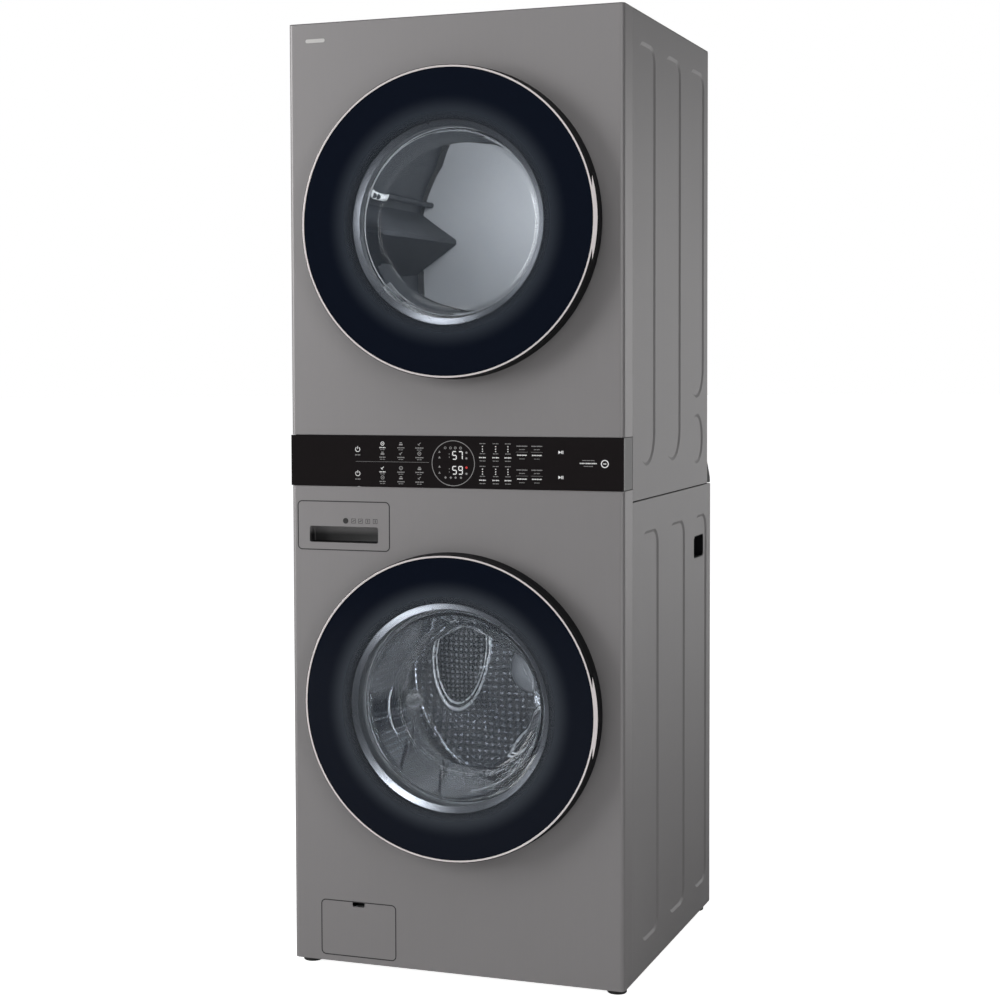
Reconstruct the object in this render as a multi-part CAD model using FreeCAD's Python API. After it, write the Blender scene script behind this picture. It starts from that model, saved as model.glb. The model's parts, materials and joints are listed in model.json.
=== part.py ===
import FreeCAD, Part
import math
import os

# Stacked laundry tower: a front-loading washer below and a tumble dryer above, in one cabinet.
# Frame: +X to the right seen from the front, +Y to the rear, +Z up. The origin is on the floor,
# under the middle of the whole tower's footprint. Lengths are millimetres.

# ---- overall size
WIDTH = 690.0             # over the side panels
HEIGHT = 1890.0           # floor to the top panel
DEPTH = 770.0             # door rims to the rear spouts

# ---- cabinet
DOOR_PROUD = 40.0         # door rims stand this far ahead of the front panels
SPOUT_PROUD = 14.0        # rear spouts stand this far behind the washer
BACK_STEP = 30.0          # the dryer's back is this far ahead of the washer's back
FOOT_GAP = 12.0           # floor to the bottom edge of the panels
SHEET = 1.0               # steel sheet
PANEL_GAP = 0.6           # between neighbouring panels
CORNER = 9.0              # upright front corners
WRAP = 62.0               # the front panels reach this far round the sides
FLANGE = 18.0             # folded edges of the side panels
BASE_HEIGHT = 38.0        # base pan's rim
JOINT_Z = 947.0           # joint between the lower and upper side panels
BAND_Z = 972.5            # bottom of the control band
BAND_HEIGHT = 101.0       # control band
FASCIA = 3.0              # thickness of the control band's glass
BEAD_DEPTH = 3.0          # pressed beads in the side panels
BEAD_SLOPE = 6.0          # width of a bead's sloping edge
BEAD_CORNER = 36.0        # corners of the beads

# ---- doors
WASHER_Z = 543.9          # height of the washer's drum axis
DRYER_Z = 1487.4          # height of the dryer's drum axis
RIM_R = 301.0             # door rim's outer radius
RIM_BAND = 5.0            # visible width of the rim
RIM_DEPTH = 14.0          # front to back of the rim
GRIP_SWELL = 5.0          # the rim widens by this at the grip
GRIP_HALF_ANGLE = 12.5    # degrees each side of three o'clock
PANE = 4.0                # thickness of the flat outer glass
BOWL_WALL = 5.0           # thickness of the inner glass
WASHER_WINDOW_R = 206.0   # window in the washer's door frame
WASHER_BOWL_R = 158.0     # washer bowl's round end
WASHER_BOWL_REACH = 96.0  # washer bowl behind its flange
DRYER_WINDOW_R = 197.0    # window in the dryer's door frame
DRYER_BOWL_R = 172.0      # dryer bowl's round end
DRYER_BOWL_REACH = 44.0   # dryer bowl behind its flange
DOOR_GAP = 1.5            # door frame's back to the front panel
HINGE_INSET = 9.0         # hinge axis to the rim's left edge
HINGE_BACK = 20.0         # hinge axis behind the rim's front
HINGE_CLEAR = 14.0        # the frame is cut back this far beside the hinge axis
HINGE_HALF = 45.0         # half the height of the hinge barrel
HINGE_R = 5.0             # hinge barrel
PIN_R = 2.5               # hinge pin
HOOK_X = 268.0            # latch hook, opposite the hinge
HOOK_REACH = 14.0         # hook behind the door frame
RUN_FIT = 0.05            # radial clearance of pins and shafts

# ---- washer
MOUTH_R = 222.0           # round opening of both front panels
GASKET_LIP_R = 196.0      # inner edge of the door gasket
TUB_R = 302.0             # outer tub, outside
TUB_WALL = 4.0
TUB_FRONT = 52.0          # front face of the panels to the tub
TUB_TO_REAR = 300.0       # doors, motor and rear spouts, ahead of and behind the tub
DRUM_CLEAR = 32.0         # tub's outside to the washer drum's outside
DRUM_WALL = 1.2
DRUM_GAP = 10.0           # drum to tub, in front
SPIDER_SPACE = 18.0       # drum to tub, behind
DRUM_MOUTH_R = 203.0
DRUM_CURL = 0.45          # share of the drum's front that curls round to the wall
LIFTER_HEIGHT = 62.0
LIFTER_TURN = 0.62        # first lifter's place from the bottom, in thirds of a turn
LIFTER_WALL = 2.0
SHAFT_R = 15.0
BEARING_R = 31.0
ROTOR_R = 150.0
STATOR_R = 136.0
MOTOR_DEPTH = 42.0

# ---- dryer
TUMBLER_R = 316.0         # dryer drum, outside
TUMBLER_WALL = 1.0
TUMBLER_FRONT = 76.0      # front face of the panels to the drum's front edge
TUMBLER_TO_REAR = 210.0   # doors, front wall, rear duct and spouts, ahead of and behind the drum
TUMBLER_MOUTH_R = 212.0
BAFFLE_HEIGHT = 96.0
BAFFLE_TURN = 0.75        # first baffle's place from the bottom, in thirds of a turn
DUCT_R = 50.8             # exhaust spout, outside (4 inch duct slips over it)
DUCT_WALL = 0.8
DUCT_LIFT = 112.0         # duct axis above the middle deck
MOTOR_X = 178.0           # dryer motor's axis
MOTOR_LIFT = 108.0        # dryer motor's axis above the middle deck
MOTOR_R = 52.0
MOTOR_LENGTH = 112.0
PULLEY_R = 12.0
BLOWER_R = 84.0
BELT = 2.0                # belt thickness
BELT_WIDTH = 10.0
BELT_GAP = 0.4            # belt to drum and pulley

# ---- drawer, drain, filter, feet
DRAWER_X = (-331.0, -134.0)
DRAWER_Z = (844.5, 941.0)
DRAWER_CORNER = 9.0
DRAWER_TRAY_DEPTH = 262.0
DRAWER_WALL = 2.5
GRIP_X = (-306.0, -158.0)
GRIP_Z = (859.0, 891.5)
GRIP_DEPTH = 24.0
FLAP_X = (-285.0, -125.0)
FLAP_Z = (25.0, 135.5)
FLAP_WALL = 2.5
FILTER_CAP_R = 38.0
LINT_WIDTH = 220.0
LINT_HEIGHT = 168.0
LINT_THICK = 10.0
FOOT_R = 19.0
FOOT_INSET_X = 24.0
FOOT_INSET_FRONT = 36.0
FOOT_INSET_BACK = 40.0
STEM_R = 5.0
BOSS_R = 14.0             # threaded boss round each foot's stem
CUP_WIDTH = 100.0         # hand-holds in the washer's sides
CUP_BEHIND = 53.0         # hand-hold's rear edge to the washer's back
CUP_Z = (791.0, 839.0)
CUP_DEPTH = 34.0
CUP_CORNER = 10.0

SPOUT_R = 13.2            # threaded water inlets, outside
SPOUT_LENGTH = 20.0
DRAIN_R = 15.0            # drain hose spigot, outside
DRAIN_LENGTH = 64.0
DRAIN_X = 250.0           # spigot to the middle
DRAIN_DROP = 67.0         # rear connections below the waist joint

# ---- derived places
HALF = WIDTH / 2
FRONT = -DEPTH / 2 + DOOR_PROUD
BACK = DEPTH / 2 - SPOUT_PROUD
DRYER_BACK = BACK - BACK_STEP
SEAM = FRONT + WRAP
BAND_TOP = BAND_Z + BAND_HEIGHT
INNER = HALF - SHEET
DECK_Z = JOINT_Z - 2 * SHEET
RIM_FRONT = FRONT - DOOR_PROUD
HINGE_X = -RIM_R + HINGE_INSET
HINGE_Y = RIM_FRONT + HINGE_BACK
TUB_Y = FRONT + TUB_FRONT
TUB_DEPTH = DEPTH - TUB_TO_REAR
TUB_BACK = TUB_Y + TUB_DEPTH
DRUM_R = TUB_R - DRUM_CLEAR
DRUM_Y = TUB_Y + TUB_WALL + DRUM_GAP
DRUM_BACK = TUB_BACK - TUB_WALL - SPIDER_SPACE
TUMBLER_Y = FRONT + TUMBLER_FRONT
TUMBLER_BACK = TUMBLER_Y + DEPTH - TUMBLER_TO_REAR
MOTOR_Z = JOINT_Z + MOTOR_LIFT
DUCT_Z = JOINT_Z + DUCT_LIFT
DRAIN_Z = JOINT_Z - DRAIN_DROP
ROTOR_Y = TUB_BACK + 34.0
BELT_Y = 60.0

Y_AXIS = FreeCAD.Vector(0, 1, 0)
Z_AXIS = FreeCAD.Vector(0, 0, 1)


def vec(x, y, z):
    return FreeCAD.Vector(x, y, z)


def box(x0, x1, y0, y1, z0, z1):
    return Part.makeBox(x1 - x0, y1 - y0, z1 - z0, vec(x0, y0, z0))


def disc(x, z, y0, y1, radius):
    """Solid cylinder along Y."""
    return Part.makeCylinder(radius, y1 - y0, vec(x, y0, z), Y_AXIS)


def tube(x, z, y0, y1, outer, inner):
    return disc(x, z, y0, y1, outer).cut(disc(x, z, y0 - 1, y1 + 1, inner))


def post(x, y, z0, z1, radius):
    """Solid cylinder along Z."""
    return Part.makeCylinder(radius, z1 - z0, vec(x, y, z0), Z_AXIS)


def turned(points, z, x=0.0):
    """Solid of revolution about the Y axis at height z, from (radius, y) points."""
    wire = Part.makePolygon([vec(x + r, y, z) for r, y in points + points[:1]])
    return Part.Face(wire).revolve(vec(x, 0, z), Y_AXIS, 360)


def slab_y(x, z, y0, y1, corner):
    """Rounded rectangle over the x and z ranges, extruded along Y."""
    solid = box(x[0], x[1], y0, y1, z[0], z[1])
    upright = [e for e in solid.Edges if abs(e.tangentAt(e.FirstParameter).y) > 0.99]
    return solid.makeFillet(corner, upright)


def joined(solids):
    first = solids[0]
    return first.multiFuse(solids[1:]).removeSplitter() if len(solids) > 1 else first


def group(solids):
    return Part.makeCompound(solids)


# ---------------------------------------------------------------- cabinet shell

def bead_face(x, y0, y1, z0, z1, top, bottom):
    """Outline of a side panel's bead at one x: rounded top corners of radius top, and a
    lower end whose two arcs of radius bottom meet, or nearly meet."""
    def arc(cy, cz, radius, a0, a1):
        def at(angle):
            turn = math.radians(angle)
            return vec(x, cy + radius * math.cos(turn), cz + radius * math.sin(turn))
        return Part.Arc(at(a0), at((a0 + a1) / 2), at(a1)).toShape()
    arcs = [
        arc(y1 - top, z1 - top, top, 0, 90),
        arc(y0 + top, z1 - top, top, 90, 180),
        arc(y0 + bottom, z0 + bottom, bottom, 180, 270),
        arc(y1 - bottom, z0 + bottom, bottom, 270, 360),
    ]
    edges = []
    for here, after in zip(arcs, arcs[1:] + arcs[:1]):
        edges.append(here)
        start = here.Vertexes[-1].Point
        end = after.Vertexes[0].Point
        edges.append(Part.makeLine(start, end))
    return Part.Wire(edges)


def bead(side, y0, y1, z0, z1, top, bottom, grow=0.0):
    """Sloping-edged recess pressed into the side panel on one side (+1 right, -1 left)."""
    widest = (y1 - y0 - 1) / 2
    top, bottom = min(top, widest), min(bottom, widest)
    outer = bead_face(side * (HALF - grow), y0, y1, z0, z1, top, bottom)
    inset = BEAD_SLOPE - grow
    inner = bead_face(side * (HALF - BEAD_DEPTH - grow), y0 + inset, y1 - inset,
                      z0 + inset, z1 - inset, top - inset, bottom - inset)
    return Part.makeLoft([outer, inner], True)


def side_panel(side, z0, z1, back, beads, lift):
    """Flat steel side with flanged rear, top and front edges and pressed vertical beads.
    The front flange starts lift above the lower edge."""
    def span(inner, outer, y0, y1, low, high):
        xs = sorted((side * inner, side * outer))
        return box(xs[0], xs[1], y0, y1, low, high)
    y0 = SEAM + PANEL_GAP
    parts = [
        span(INNER, HALF, y0, back, z0, z1),
        span(HALF - FLANGE, INNER, back - SHEET, back, z0, z1),
        span(HALF - FLANGE, INNER, y0, back, z1 - SHEET, z1),
        span(HALF - FLANGE, INNER, y0, y0 + SHEET, z0 + lift, z1),
    ]
    panel = joined(parts)
    for outline in beads:
        panel = panel.fuse(bead(side, *outline, grow=SHEET))
    for outline in beads:
        panel = panel.cut(bead(side, *outline))
    return panel


def bead_row(back, margin, gap, rear, narrower):
    """Front and rear edges of three beads that fill the side up to its back; the last one
    is narrower than the others by the amount given."""
    room = back - SEAM - margin - rear - 2 * gap
    width = (room + narrower) / 3
    starts = [SEAM + margin + i * (width + gap) for i in range(3)]
    return [(starts[0], starts[0] + width), (starts[1], starts[1] + width),
            (starts[2], starts[2] + width - narrower)]


def washer_beads():
    """Three tall beads, as (y0, y1, z0, z1, top corner, lower corner)."""
    z0 = FOOT_GAP + 58
    z1 = JOINT_Z - 63
    return [(y0, y1, z0, z1, BEAD_CORNER, BEAD_CORNER) for y0, y1 in bead_row(BACK, 65.0, 86.0, 35.0, 22.0)]


def dryer_beads():
    """Three tall beads with round lower ends; the rear one is short, above a round dimple."""
    rows = bead_row(DRYER_BACK, 41.0, 79.0, 34.0, 0.0)
    lows = [JOINT_Z + 66, JOINT_Z + 66, JOINT_Z + 191]
    beads = [(y0, y1, z0, HEIGHT - 55, BEAD_CORNER, (y1 - y0 - 1) / 2) for (y0, y1), z0 in zip(rows, lows)]
    y0, y1 = rows[2]
    dimple = y1 - y0 - 24
    beads.append((y0 + 16, y1 - 8, JOINT_Z + 49, JOINT_Z + 50 + dimple, (dimple - 1) / 2, (dimple - 1) / 2))
    return beads


def cup_hole(side, inset, x0, x1):
    """Rounded block for a hand-hold, from x0 to x1 (both distances from the middle)."""
    y1 = BACK - CUP_BEHIND
    y0 = y1 - CUP_WIDTH
    xs = sorted((side * x0, side * x1))
    solid = box(xs[0], xs[1], y0 + inset, y1 - inset, CUP_Z[0] + inset, CUP_Z[1] - inset)
    along = [e for e in solid.Edges if abs(e.tangentAt(e.FirstParameter).x) > 0.99]
    return solid.makeFillet(CUP_CORNER - inset, along)


def washer_side(side):
    z1 = JOINT_Z - PANEL_GAP
    panel = side_panel(side, FOOT_GAP, z1, BACK, washer_beads(), BASE_HEIGHT + 3)
    return panel.cut(cup_hole(side, 0.0, HALF - FLANGE, HALF + 1))


def dryer_side(side):
    z0 = JOINT_Z + 3 * PANEL_GAP
    return side_panel(side, z0, HEIGHT - SHEET - PANEL_GAP, DRYER_BACK, dryer_beads(), 0.0)


def hand_hold(side):
    """Moulded cup behind the washer side's hand opening, with a thin lip round its mouth."""
    outer = cup_hole(side, 0.0, HALF - CUP_DEPTH, INNER - BEAD_DEPTH - 0.2)
    inner = cup_hole(side, 2.0, HALF - CUP_DEPTH + 2, HALF + 1)
    return outer.cut(inner)


def front_panel(z0, z1, mouth_z):
    """Folded steel front with rounded upright corners, side returns and the door opening."""
    outer = box(-HALF, HALF, FRONT, SEAM, z0, z1)
    inner = box(-INNER, INNER, FRONT + SHEET, SEAM + 1, z0 - 1, z1 + 1)

    def rounded(solid, y, radius):
        edges = [e for e in solid.Edges if abs(e.tangentAt(e.FirstParameter).z) > 0.99
                 and abs(e.CenterOfMass.y - y) < 0.01]
        return solid.makeFillet(radius, edges)
    shell = rounded(outer, FRONT, CORNER).cut(rounded(inner, FRONT + SHEET, CORNER - SHEET))
    hook_slot = box(HOOK_X - 8, HOOK_X + 16, FRONT - 1, FRONT + 5, mouth_z - 11, mouth_z + 11)
    return shell.cut(disc(0, mouth_z, FRONT - 1, FRONT + 5, MOUTH_R)).cut(hook_slot)


def washer_front():
    panel = front_panel(FOOT_GAP, BAND_Z - PANEL_GAP, WASHER_Z)
    opening = (DRAWER_X[0] - PANEL_GAP, DRAWER_X[1] + PANEL_GAP)
    height = (DRAWER_Z[0] - PANEL_GAP, DRAWER_Z[1] + PANEL_GAP)
    panel = panel.cut(slab_y(opening, height, FRONT - 1, FRONT + 5, DRAWER_CORNER + PANEL_GAP))
    opening = (FLAP_X[0] - PANEL_GAP, FLAP_X[1] + PANEL_GAP)
    height = (FLAP_Z[0] - PANEL_GAP, FLAP_Z[1] + PANEL_GAP)
    return panel.cut(slab_y(opening, height, FRONT - 1, FRONT + 5, DRAWER_CORNER + PANEL_GAP))


def dryer_front():
    return front_panel(BAND_TOP + PANEL_GAP, HEIGHT - SHEET - PANEL_GAP, DRYER_Z)


def top_panel():
    """Lid of folded sheet: a flat top with a short skirt inside the other panels."""
    drop = 16.0
    fit = INNER - PANEL_GAP
    lid = box(-HALF, HALF, FRONT, DRYER_BACK, HEIGHT - SHEET, HEIGHT)
    edges = [e for e in lid.Edges if abs(e.tangentAt(e.FirstParameter).z) > 0.99
             and abs(e.CenterOfMass.y - FRONT) < 0.01]
    lid = lid.makeFillet(CORNER, edges)
    low = HEIGHT - SHEET - drop
    y0 = FRONT + SHEET + CORNER
    skirt = box(-fit + FLANGE, fit - FLANGE, y0, DRYER_BACK - FLANGE, low, HEIGHT - SHEET)
    hollow = box(-fit + FLANGE + SHEET, fit - FLANGE - SHEET, y0 + SHEET, DRYER_BACK - FLANGE - SHEET,
                 low - 1, HEIGHT - SHEET)
    return lid.fuse(skirt.cut(hollow))


def rear_panel(y, z0, z1, holes, slots):
    """Sheet across the back, between the side panels' flanges, with holes and louvre slots."""
    fit = INNER - PANEL_GAP
    panel = box(-fit, fit, y - 2 * SHEET - PANEL_GAP, y - SHEET - PANEL_GAP, z0, z1)
    for x, z, radius in holes:
        panel = panel.cut(disc(x, z, y - 20, y + 20, radius))
    for x, z in slots:
        panel = panel.cut(box(x - 32, x + 32, y - 20, y + 20, z - 3, z + 3))
    return panel


def valve_places():
    """Centres of the hot and cold water inlets, high on the washer's back."""
    return [(-DRAIN_X, DRAIN_Z), (-DRAIN_X + 60, DRAIN_Z)]


def washer_rear():
    holes = [(x, z, SPOUT_R + 6) for x, z in valve_places()]
    holes.append((DRAIN_X, DRAIN_Z, DRAIN_R + 6))
    slots = [(x, z) for x in (160, 240) for z in range(700, 800, 16)]
    return rear_panel(BACK, FOOT_GAP + 30, DECK_Z - PANEL_GAP, holes, slots)


def dryer_rear():
    holes = [(0.0, DUCT_Z, DUCT_R + 1.5)]
    slots = [(x, z) for x in (-210, -130) for z in range(1150, 1290, 16)]
    return rear_panel(DRYER_BACK, JOINT_Z + 3 * PANEL_GAP, HEIGHT - 2 * SHEET - 2 * PANEL_GAP, holes, slots)


def foot_places():
    x = HALF - FOOT_INSET_X
    front = FRONT + FOOT_INSET_FRONT
    back = BACK - FOOT_INSET_BACK
    return {"front_left": (-x, front), "front_right": (x, front),
            "rear_left": (-x, back), "rear_right": (x, back)}


def base_pan():
    """Pressed pan that carries everything: floor, rim and four threaded foot bosses."""
    reach = INNER - PANEL_GAP
    z0 = FOOT_GAP + 2
    y0 = FRONT + SHEET + PANEL_GAP
    y1 = BACK - 2 * SHEET - 2 * PANEL_GAP - SHEET
    z1 = z0 + BASE_HEIGHT
    outer = box(-reach, reach, y0, y1, z0, z1)
    uprights = [e for e in outer.Edges if abs(e.tangentAt(e.FirstParameter).z) > 0.99
                and e.CenterOfMass.y < 0]
    outer = outer.makeFillet(CORNER - SHEET, uprights)
    wall = 2 * SHEET
    pan = outer.cut(box(-reach + wall, reach - wall, y0 + wall + CORNER, y1 - wall, z0 + wall, z1 + 1))
    mid_y = (y0 + y1) / 2
    pan = pan.cut(box(-120, 120, mid_y - 110, mid_y + 110, z0 - 1, z0 + wall + 1))
    for x, y in foot_places().values():
        pan = pan.fuse(post(x, y, z0, z1, BOSS_R))
    for x, y in foot_places().values():
        pan = pan.cut(post(x, y, z0 - 1, z1 + 1, STEM_R + RUN_FIT))
    flap = box(FLAP_X[0] - 4, FLAP_X[1] + 4, y0 - 1, y0 + wall + CORNER + 1, FLAP_Z[0] - 4, z1 + 1)
    return pan.cut(flap)


def foot(place):
    """Levelling foot: a round pad under a threaded stem."""
    x, y = foot_places()[place]
    pad = post(x, y, 0, 8.0, FOOT_R)
    rims = [e for e in pad.Edges if len(e.Vertexes) == 1]
    pad = pad.makeChamfer(1.5, rims)
    turns = [math.radians(60 * i) for i in range(7)]
    nut = Part.makePolygon([vec(x + 9 * math.cos(turn), y + 9 * math.sin(turn), 8) for turn in turns])
    flats = Part.Face(nut).extrude(vec(0, 0, 4))
    stem = post(x, y, 8, FOOT_GAP + BASE_HEIGHT + 12, STEM_R)
    return joined([pad, flats, stem])


def middle_deck():
    """Plate between the two machines; its edge is the dark line round the tower's waist."""
    reach = HALF - SHEET / 2
    y0 = SEAM + PANEL_GAP
    plate = box(-reach, reach, y0, DRYER_BACK, JOINT_Z, JOINT_Z + 2 * PANEL_GAP)
    inner = INNER - PANEL_GAP - FLANGE
    stiff = box(-inner, inner, FRONT + 30, DRYER_BACK - 4, DECK_Z, JOINT_Z)
    return plate.fuse(stiff)


def rear_joint_cover():
    """Wedge of black plastic that fills the step behind the waist."""
    low = JOINT_Z + 3 * PANEL_GAP
    outline = [(BACK + 3, low), (BACK + 1, low + 12), (DRYER_BACK + 3, low + 50),
               (DRYER_BACK + 0.5, low + 50), (DRYER_BACK + 0.5, low)]
    wire = Part.makePolygon([vec(-HALF + 1, y, z) for y, z in outline + outline[:1]])
    return Part.Face(wire).extrude(vec(WIDTH - 2, 0, 0))


# ---------------------------------------------------------------- controls

def control_glass():
    """Gloss black fascia across the whole front."""
    glass = box(-HALF, HALF, FRONT - 1.5, FRONT - 1.5 + FASCIA, BAND_Z, BAND_TOP)
    edges = [e for e in glass.Edges if abs(e.tangentAt(e.FirstParameter).z) > 0.99
             and e.CenterOfMass.y < FRONT]
    return glass.makeFillet(1.2, edges)


def control_housing():
    """Grey plastic carrier of the fascia, with returns that show at both ends."""
    y0 = FRONT - 1.5 + FASCIA
    z0 = BAND_Z + PANEL_GAP / 2
    z1 = BAND_TOP - PANEL_GAP / 2
    outer = box(-HALF + 0.8, HALF - 0.8, y0, SEAM, z0, z1)
    hollow = box(-HALF + 4, HALF - 4, y0 + 2.5, SEAM + 1, z0 + 2.5, z1 - 2.5)
    return outer.cut(hollow)


# ---------------------------------------------------------------- doors

def rim(z):
    """Metal rim round the door's glass, swollen into a grip at the side away from the hinge."""
    def band(outer):
        back = RIM_FRONT + RIM_DEPTH
        return turned([(outer - 1.5, RIM_FRONT), (outer, RIM_FRONT + 1.5), (outer, back),
                       (RIM_R - RIM_BAND - 3, back), (RIM_R - RIM_BAND - 3, RIM_FRONT + PANE + 1),
                       (RIM_R - RIM_BAND, RIM_FRONT + PANE + 1), (RIM_R - RIM_BAND, RIM_FRONT)], z)
    swell = band(RIM_R + GRIP_SWELL)
    rise = RIM_R * math.sin(math.radians(GRIP_HALF_ANGLE))
    reach = RIM_R + GRIP_SWELL + 1
    ramp = 26.0
    root = RIM_R - RIM_BAND - 2
    flare = RIM_R * math.cos(math.radians(GRIP_HALF_ANGLE)) + 2
    points = [(root, -rise - ramp), (flare, -rise - ramp), (reach, -rise + ramp), (reach, rise - ramp),
              (flare, rise + ramp), (root, rise + ramp)]
    wire = Part.makePolygon([vec(x, RIM_FRONT - 1, z + dz) for x, dz in points + points[:1]])
    sector = Part.Face(wire).extrude(vec(0, RIM_DEPTH + 2, 0))
    return band(RIM_R).fuse(swell.common(sector)).removeSplitter()


def outer_pane(z):
    """Flat dark glass inside the rim."""
    y0 = RIM_FRONT + 1.0
    edge = RIM_R - RIM_BAND - 0.2
    return turned([(0, y0), (edge - 1, y0), (edge, y0 + 1), (edge, y0 + PANE), (0, y0 + PANE)], z)


def door_frame(z, window_r):
    """Black moulded ring between the outer pane and the inner glass, relieved at the hinge."""
    front = RIM_FRONT + PANE + 1.0
    back = FRONT - DOOR_GAP
    shelf = RIM_FRONT + RIM_DEPTH + 0.2
    rebate = RIM_R - RIM_BAND - 3.4
    ring = turned([(window_r, front + 0.2), (rebate, front + 0.2), (rebate, shelf), (RIM_R - 1, shelf),
                   (RIM_R + 2, back), (window_r + 9, back), (window_r + 9, back - 8),
                   (window_r, back - 8)], z)
    swing = box(-RIM_R - 10, HINGE_X + HINGE_CLEAR, shelf - 1, back + 1, z - RIM_R, z + RIM_R)
    return ring.cut(swing).cut(hinge_arm(z, -HINGE_HALF, HINGE_HALF, 0.3))


def door_bowl(z, window_r, tip_r, reach):
    """Inner glass: a flange screwed behind the frame and a tapering bowl with a domed end."""
    seat = FRONT - DOOR_GAP
    root_r = MOUTH_R - 36
    tip = FRONT + reach
    wall = BOWL_WALL
    outline = [(window_r + 8, seat - 7.5), (window_r + 8, seat), (root_r, seat + 2), (root_r - 4, seat + 12),
               (tip_r, tip - 14), (tip_r - 16, tip - 3), (tip_r * 0.5, tip), (0, tip),
               (0, tip - wall), (tip_r * 0.5, tip - wall), (tip_r - 18, tip - 3 - wall),
               (tip_r - wall, tip - 16),
               (root_r - 4 - wall, seat + 8), (root_r - wall, seat - 7.5)]
    return turned(outline, z)


def hinge_arm(z, low, high, room):
    """Plate that ties a hinge knuckle to the door frame, or its pocket when room is given."""
    return box(HINGE_X, HINGE_X + HINGE_CLEAR + 16 + room, HINGE_Y - 1 - room, HINGE_Y + 1.5 + room,
               z + low - room, z + high + room)


def door_hinge(z):
    """Moving leaf: two knuckles on a plate behind the frame, and the latch hook opposite."""
    back = FRONT - DOOR_GAP
    knuckles = []
    third = HINGE_HALF / 3
    for z0, z1 in ((-HINGE_HALF, -third - 0.4), (third + 0.4, HINGE_HALF)):
        barrel = post(HINGE_X, HINGE_Y, z + z0, z + z1, HINGE_R)
        bore = post(HINGE_X, HINGE_Y, z + z0 - 1, z + z1 + 1, PIN_R + RUN_FIT)
        knuckles.append(barrel.fuse(hinge_arm(z, z0, z1, 0.0)).cut(bore))
    stem = box(HOOK_X - 4, HOOK_X + 4, back, back + HOOK_REACH, z - 6, z + 6)
    lip = box(HOOK_X - 4, HOOK_X + 11, back + HOOK_REACH - 5, back + HOOK_REACH, z - 6, z + 6)
    return group(knuckles + [stem.fuse(lip)])


def hinge_bracket(z):
    """Fixed leaf: a middle knuckle with its pin, on a foot that is screwed to the front panel."""
    third = HINGE_HALF / 3
    barrel = post(HINGE_X, HINGE_Y, z - third, z + third, HINGE_R)
    web = box(HINGE_X + 2.2, HINGE_X + 5, HINGE_Y, FRONT, z - third, z + third)
    pin = post(HINGE_X, HINGE_Y, z - HINGE_HALF + 1, z + HINGE_HALF - 1, PIN_R)
    return joined([barrel, web, pin])


def lock_block(z):
    """Lock body behind the front panel, with a slot in front of the door's hook."""
    y0 = FRONT + SHEET + 0.5
    depth = HOOK_REACH + 10
    body = box(HOOK_X - 11, HOOK_X + 26, y0, y0 + depth, z - 32, z + 32)
    slot = box(HOOK_X - 8, HOOK_X + 16, y0 - 1, y0 + depth - 3, z - 10, z + 10)
    return body.cut(slot)


# ---------------------------------------------------------------- washer inside

def washer_gasket():
    """Rubber bellows from the front panel's mouth to the tub's mouth."""
    y0 = FRONT + SHEET + 0.4
    return turned([(MOUTH_R + 6, y0), (MOUTH_R + 6, y0 + 5), (MOUTH_R - 4, y0 + 8),
                   (MOUTH_R - 6, TUB_Y - 0.4),
                   (MOUTH_R - 12, TUB_Y - 0.4), (GASKET_LIP_R + 5, y0 + 16), (GASKET_LIP_R, y0 + 10),
                   (GASKET_LIP_R, y0 + 6), (GASKET_LIP_R + 8, y0 + 4)], WASHER_Z)


def tub_shell(y0, y1, mouth, hub):
    """Half of the outer tub: a wall and one end, open at the mouth and thick at the hub."""
    inner = TUB_R - TUB_WALL
    if mouth:
        points = [(mouth, y0), (TUB_R, y0), (TUB_R, y1), (inner, y1), (inner, y0 + TUB_WALL),
                  (mouth, y0 + TUB_WALL)]
    else:
        points = [(hub, y1 - TUB_WALL - 6), (hub + 20, y1 - TUB_WALL), (inner, y1 - TUB_WALL), (inner, y0),
                  (TUB_R, y0), (TUB_R, y1), (hub + 26, y1), (hub + 16, y1 + 26), (hub, y1 + 26)]
    return turned(points, WASHER_Z)


def tub_front():
    return tub_shell(TUB_Y, TUB_Y + TUB_DEPTH / 2 - 0.2, MOUTH_R - 14, 0)


def tub_rear():
    return tub_shell(TUB_Y + TUB_DEPTH / 2 + 0.2, TUB_BACK, 0, BEARING_R)


def drum_bearings():
    """Front and rear ball bearings, pressed into the tub's hub."""
    rings = []
    for y in (TUB_BACK - TUB_WALL - 4, TUB_BACK + 10):
        rings.append(tube(0, WASHER_Z, y, y + 14, BEARING_R, SHAFT_R + RUN_FIT))
    return group(rings)


def washer_drum():
    """Stainless drum: a rolled wall with a curled front lip and a dished back."""
    wall = DRUM_WALL
    inner = DRUM_R - wall
    curl = DRUM_CURL * (DRUM_R - DRUM_MOUTH_R)
    bend = 0.28 * curl
    return turned([(DRUM_MOUTH_R, DRUM_Y), (DRUM_R - curl, DRUM_Y), (DRUM_R - bend, DRUM_Y + bend),
                   (DRUM_R, DRUM_Y + curl), (DRUM_R, DRUM_BACK), (0, DRUM_BACK), (0, DRUM_BACK - wall),
                   (inner, DRUM_BACK - wall), (inner, DRUM_Y + curl),
                   (DRUM_R - bend - 0.7 * wall, DRUM_Y + bend + 0.7 * wall), (DRUM_R - curl, DRUM_Y + wall),
                   (DRUM_MOUTH_R, DRUM_Y + wall)], WASHER_Z)


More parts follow.
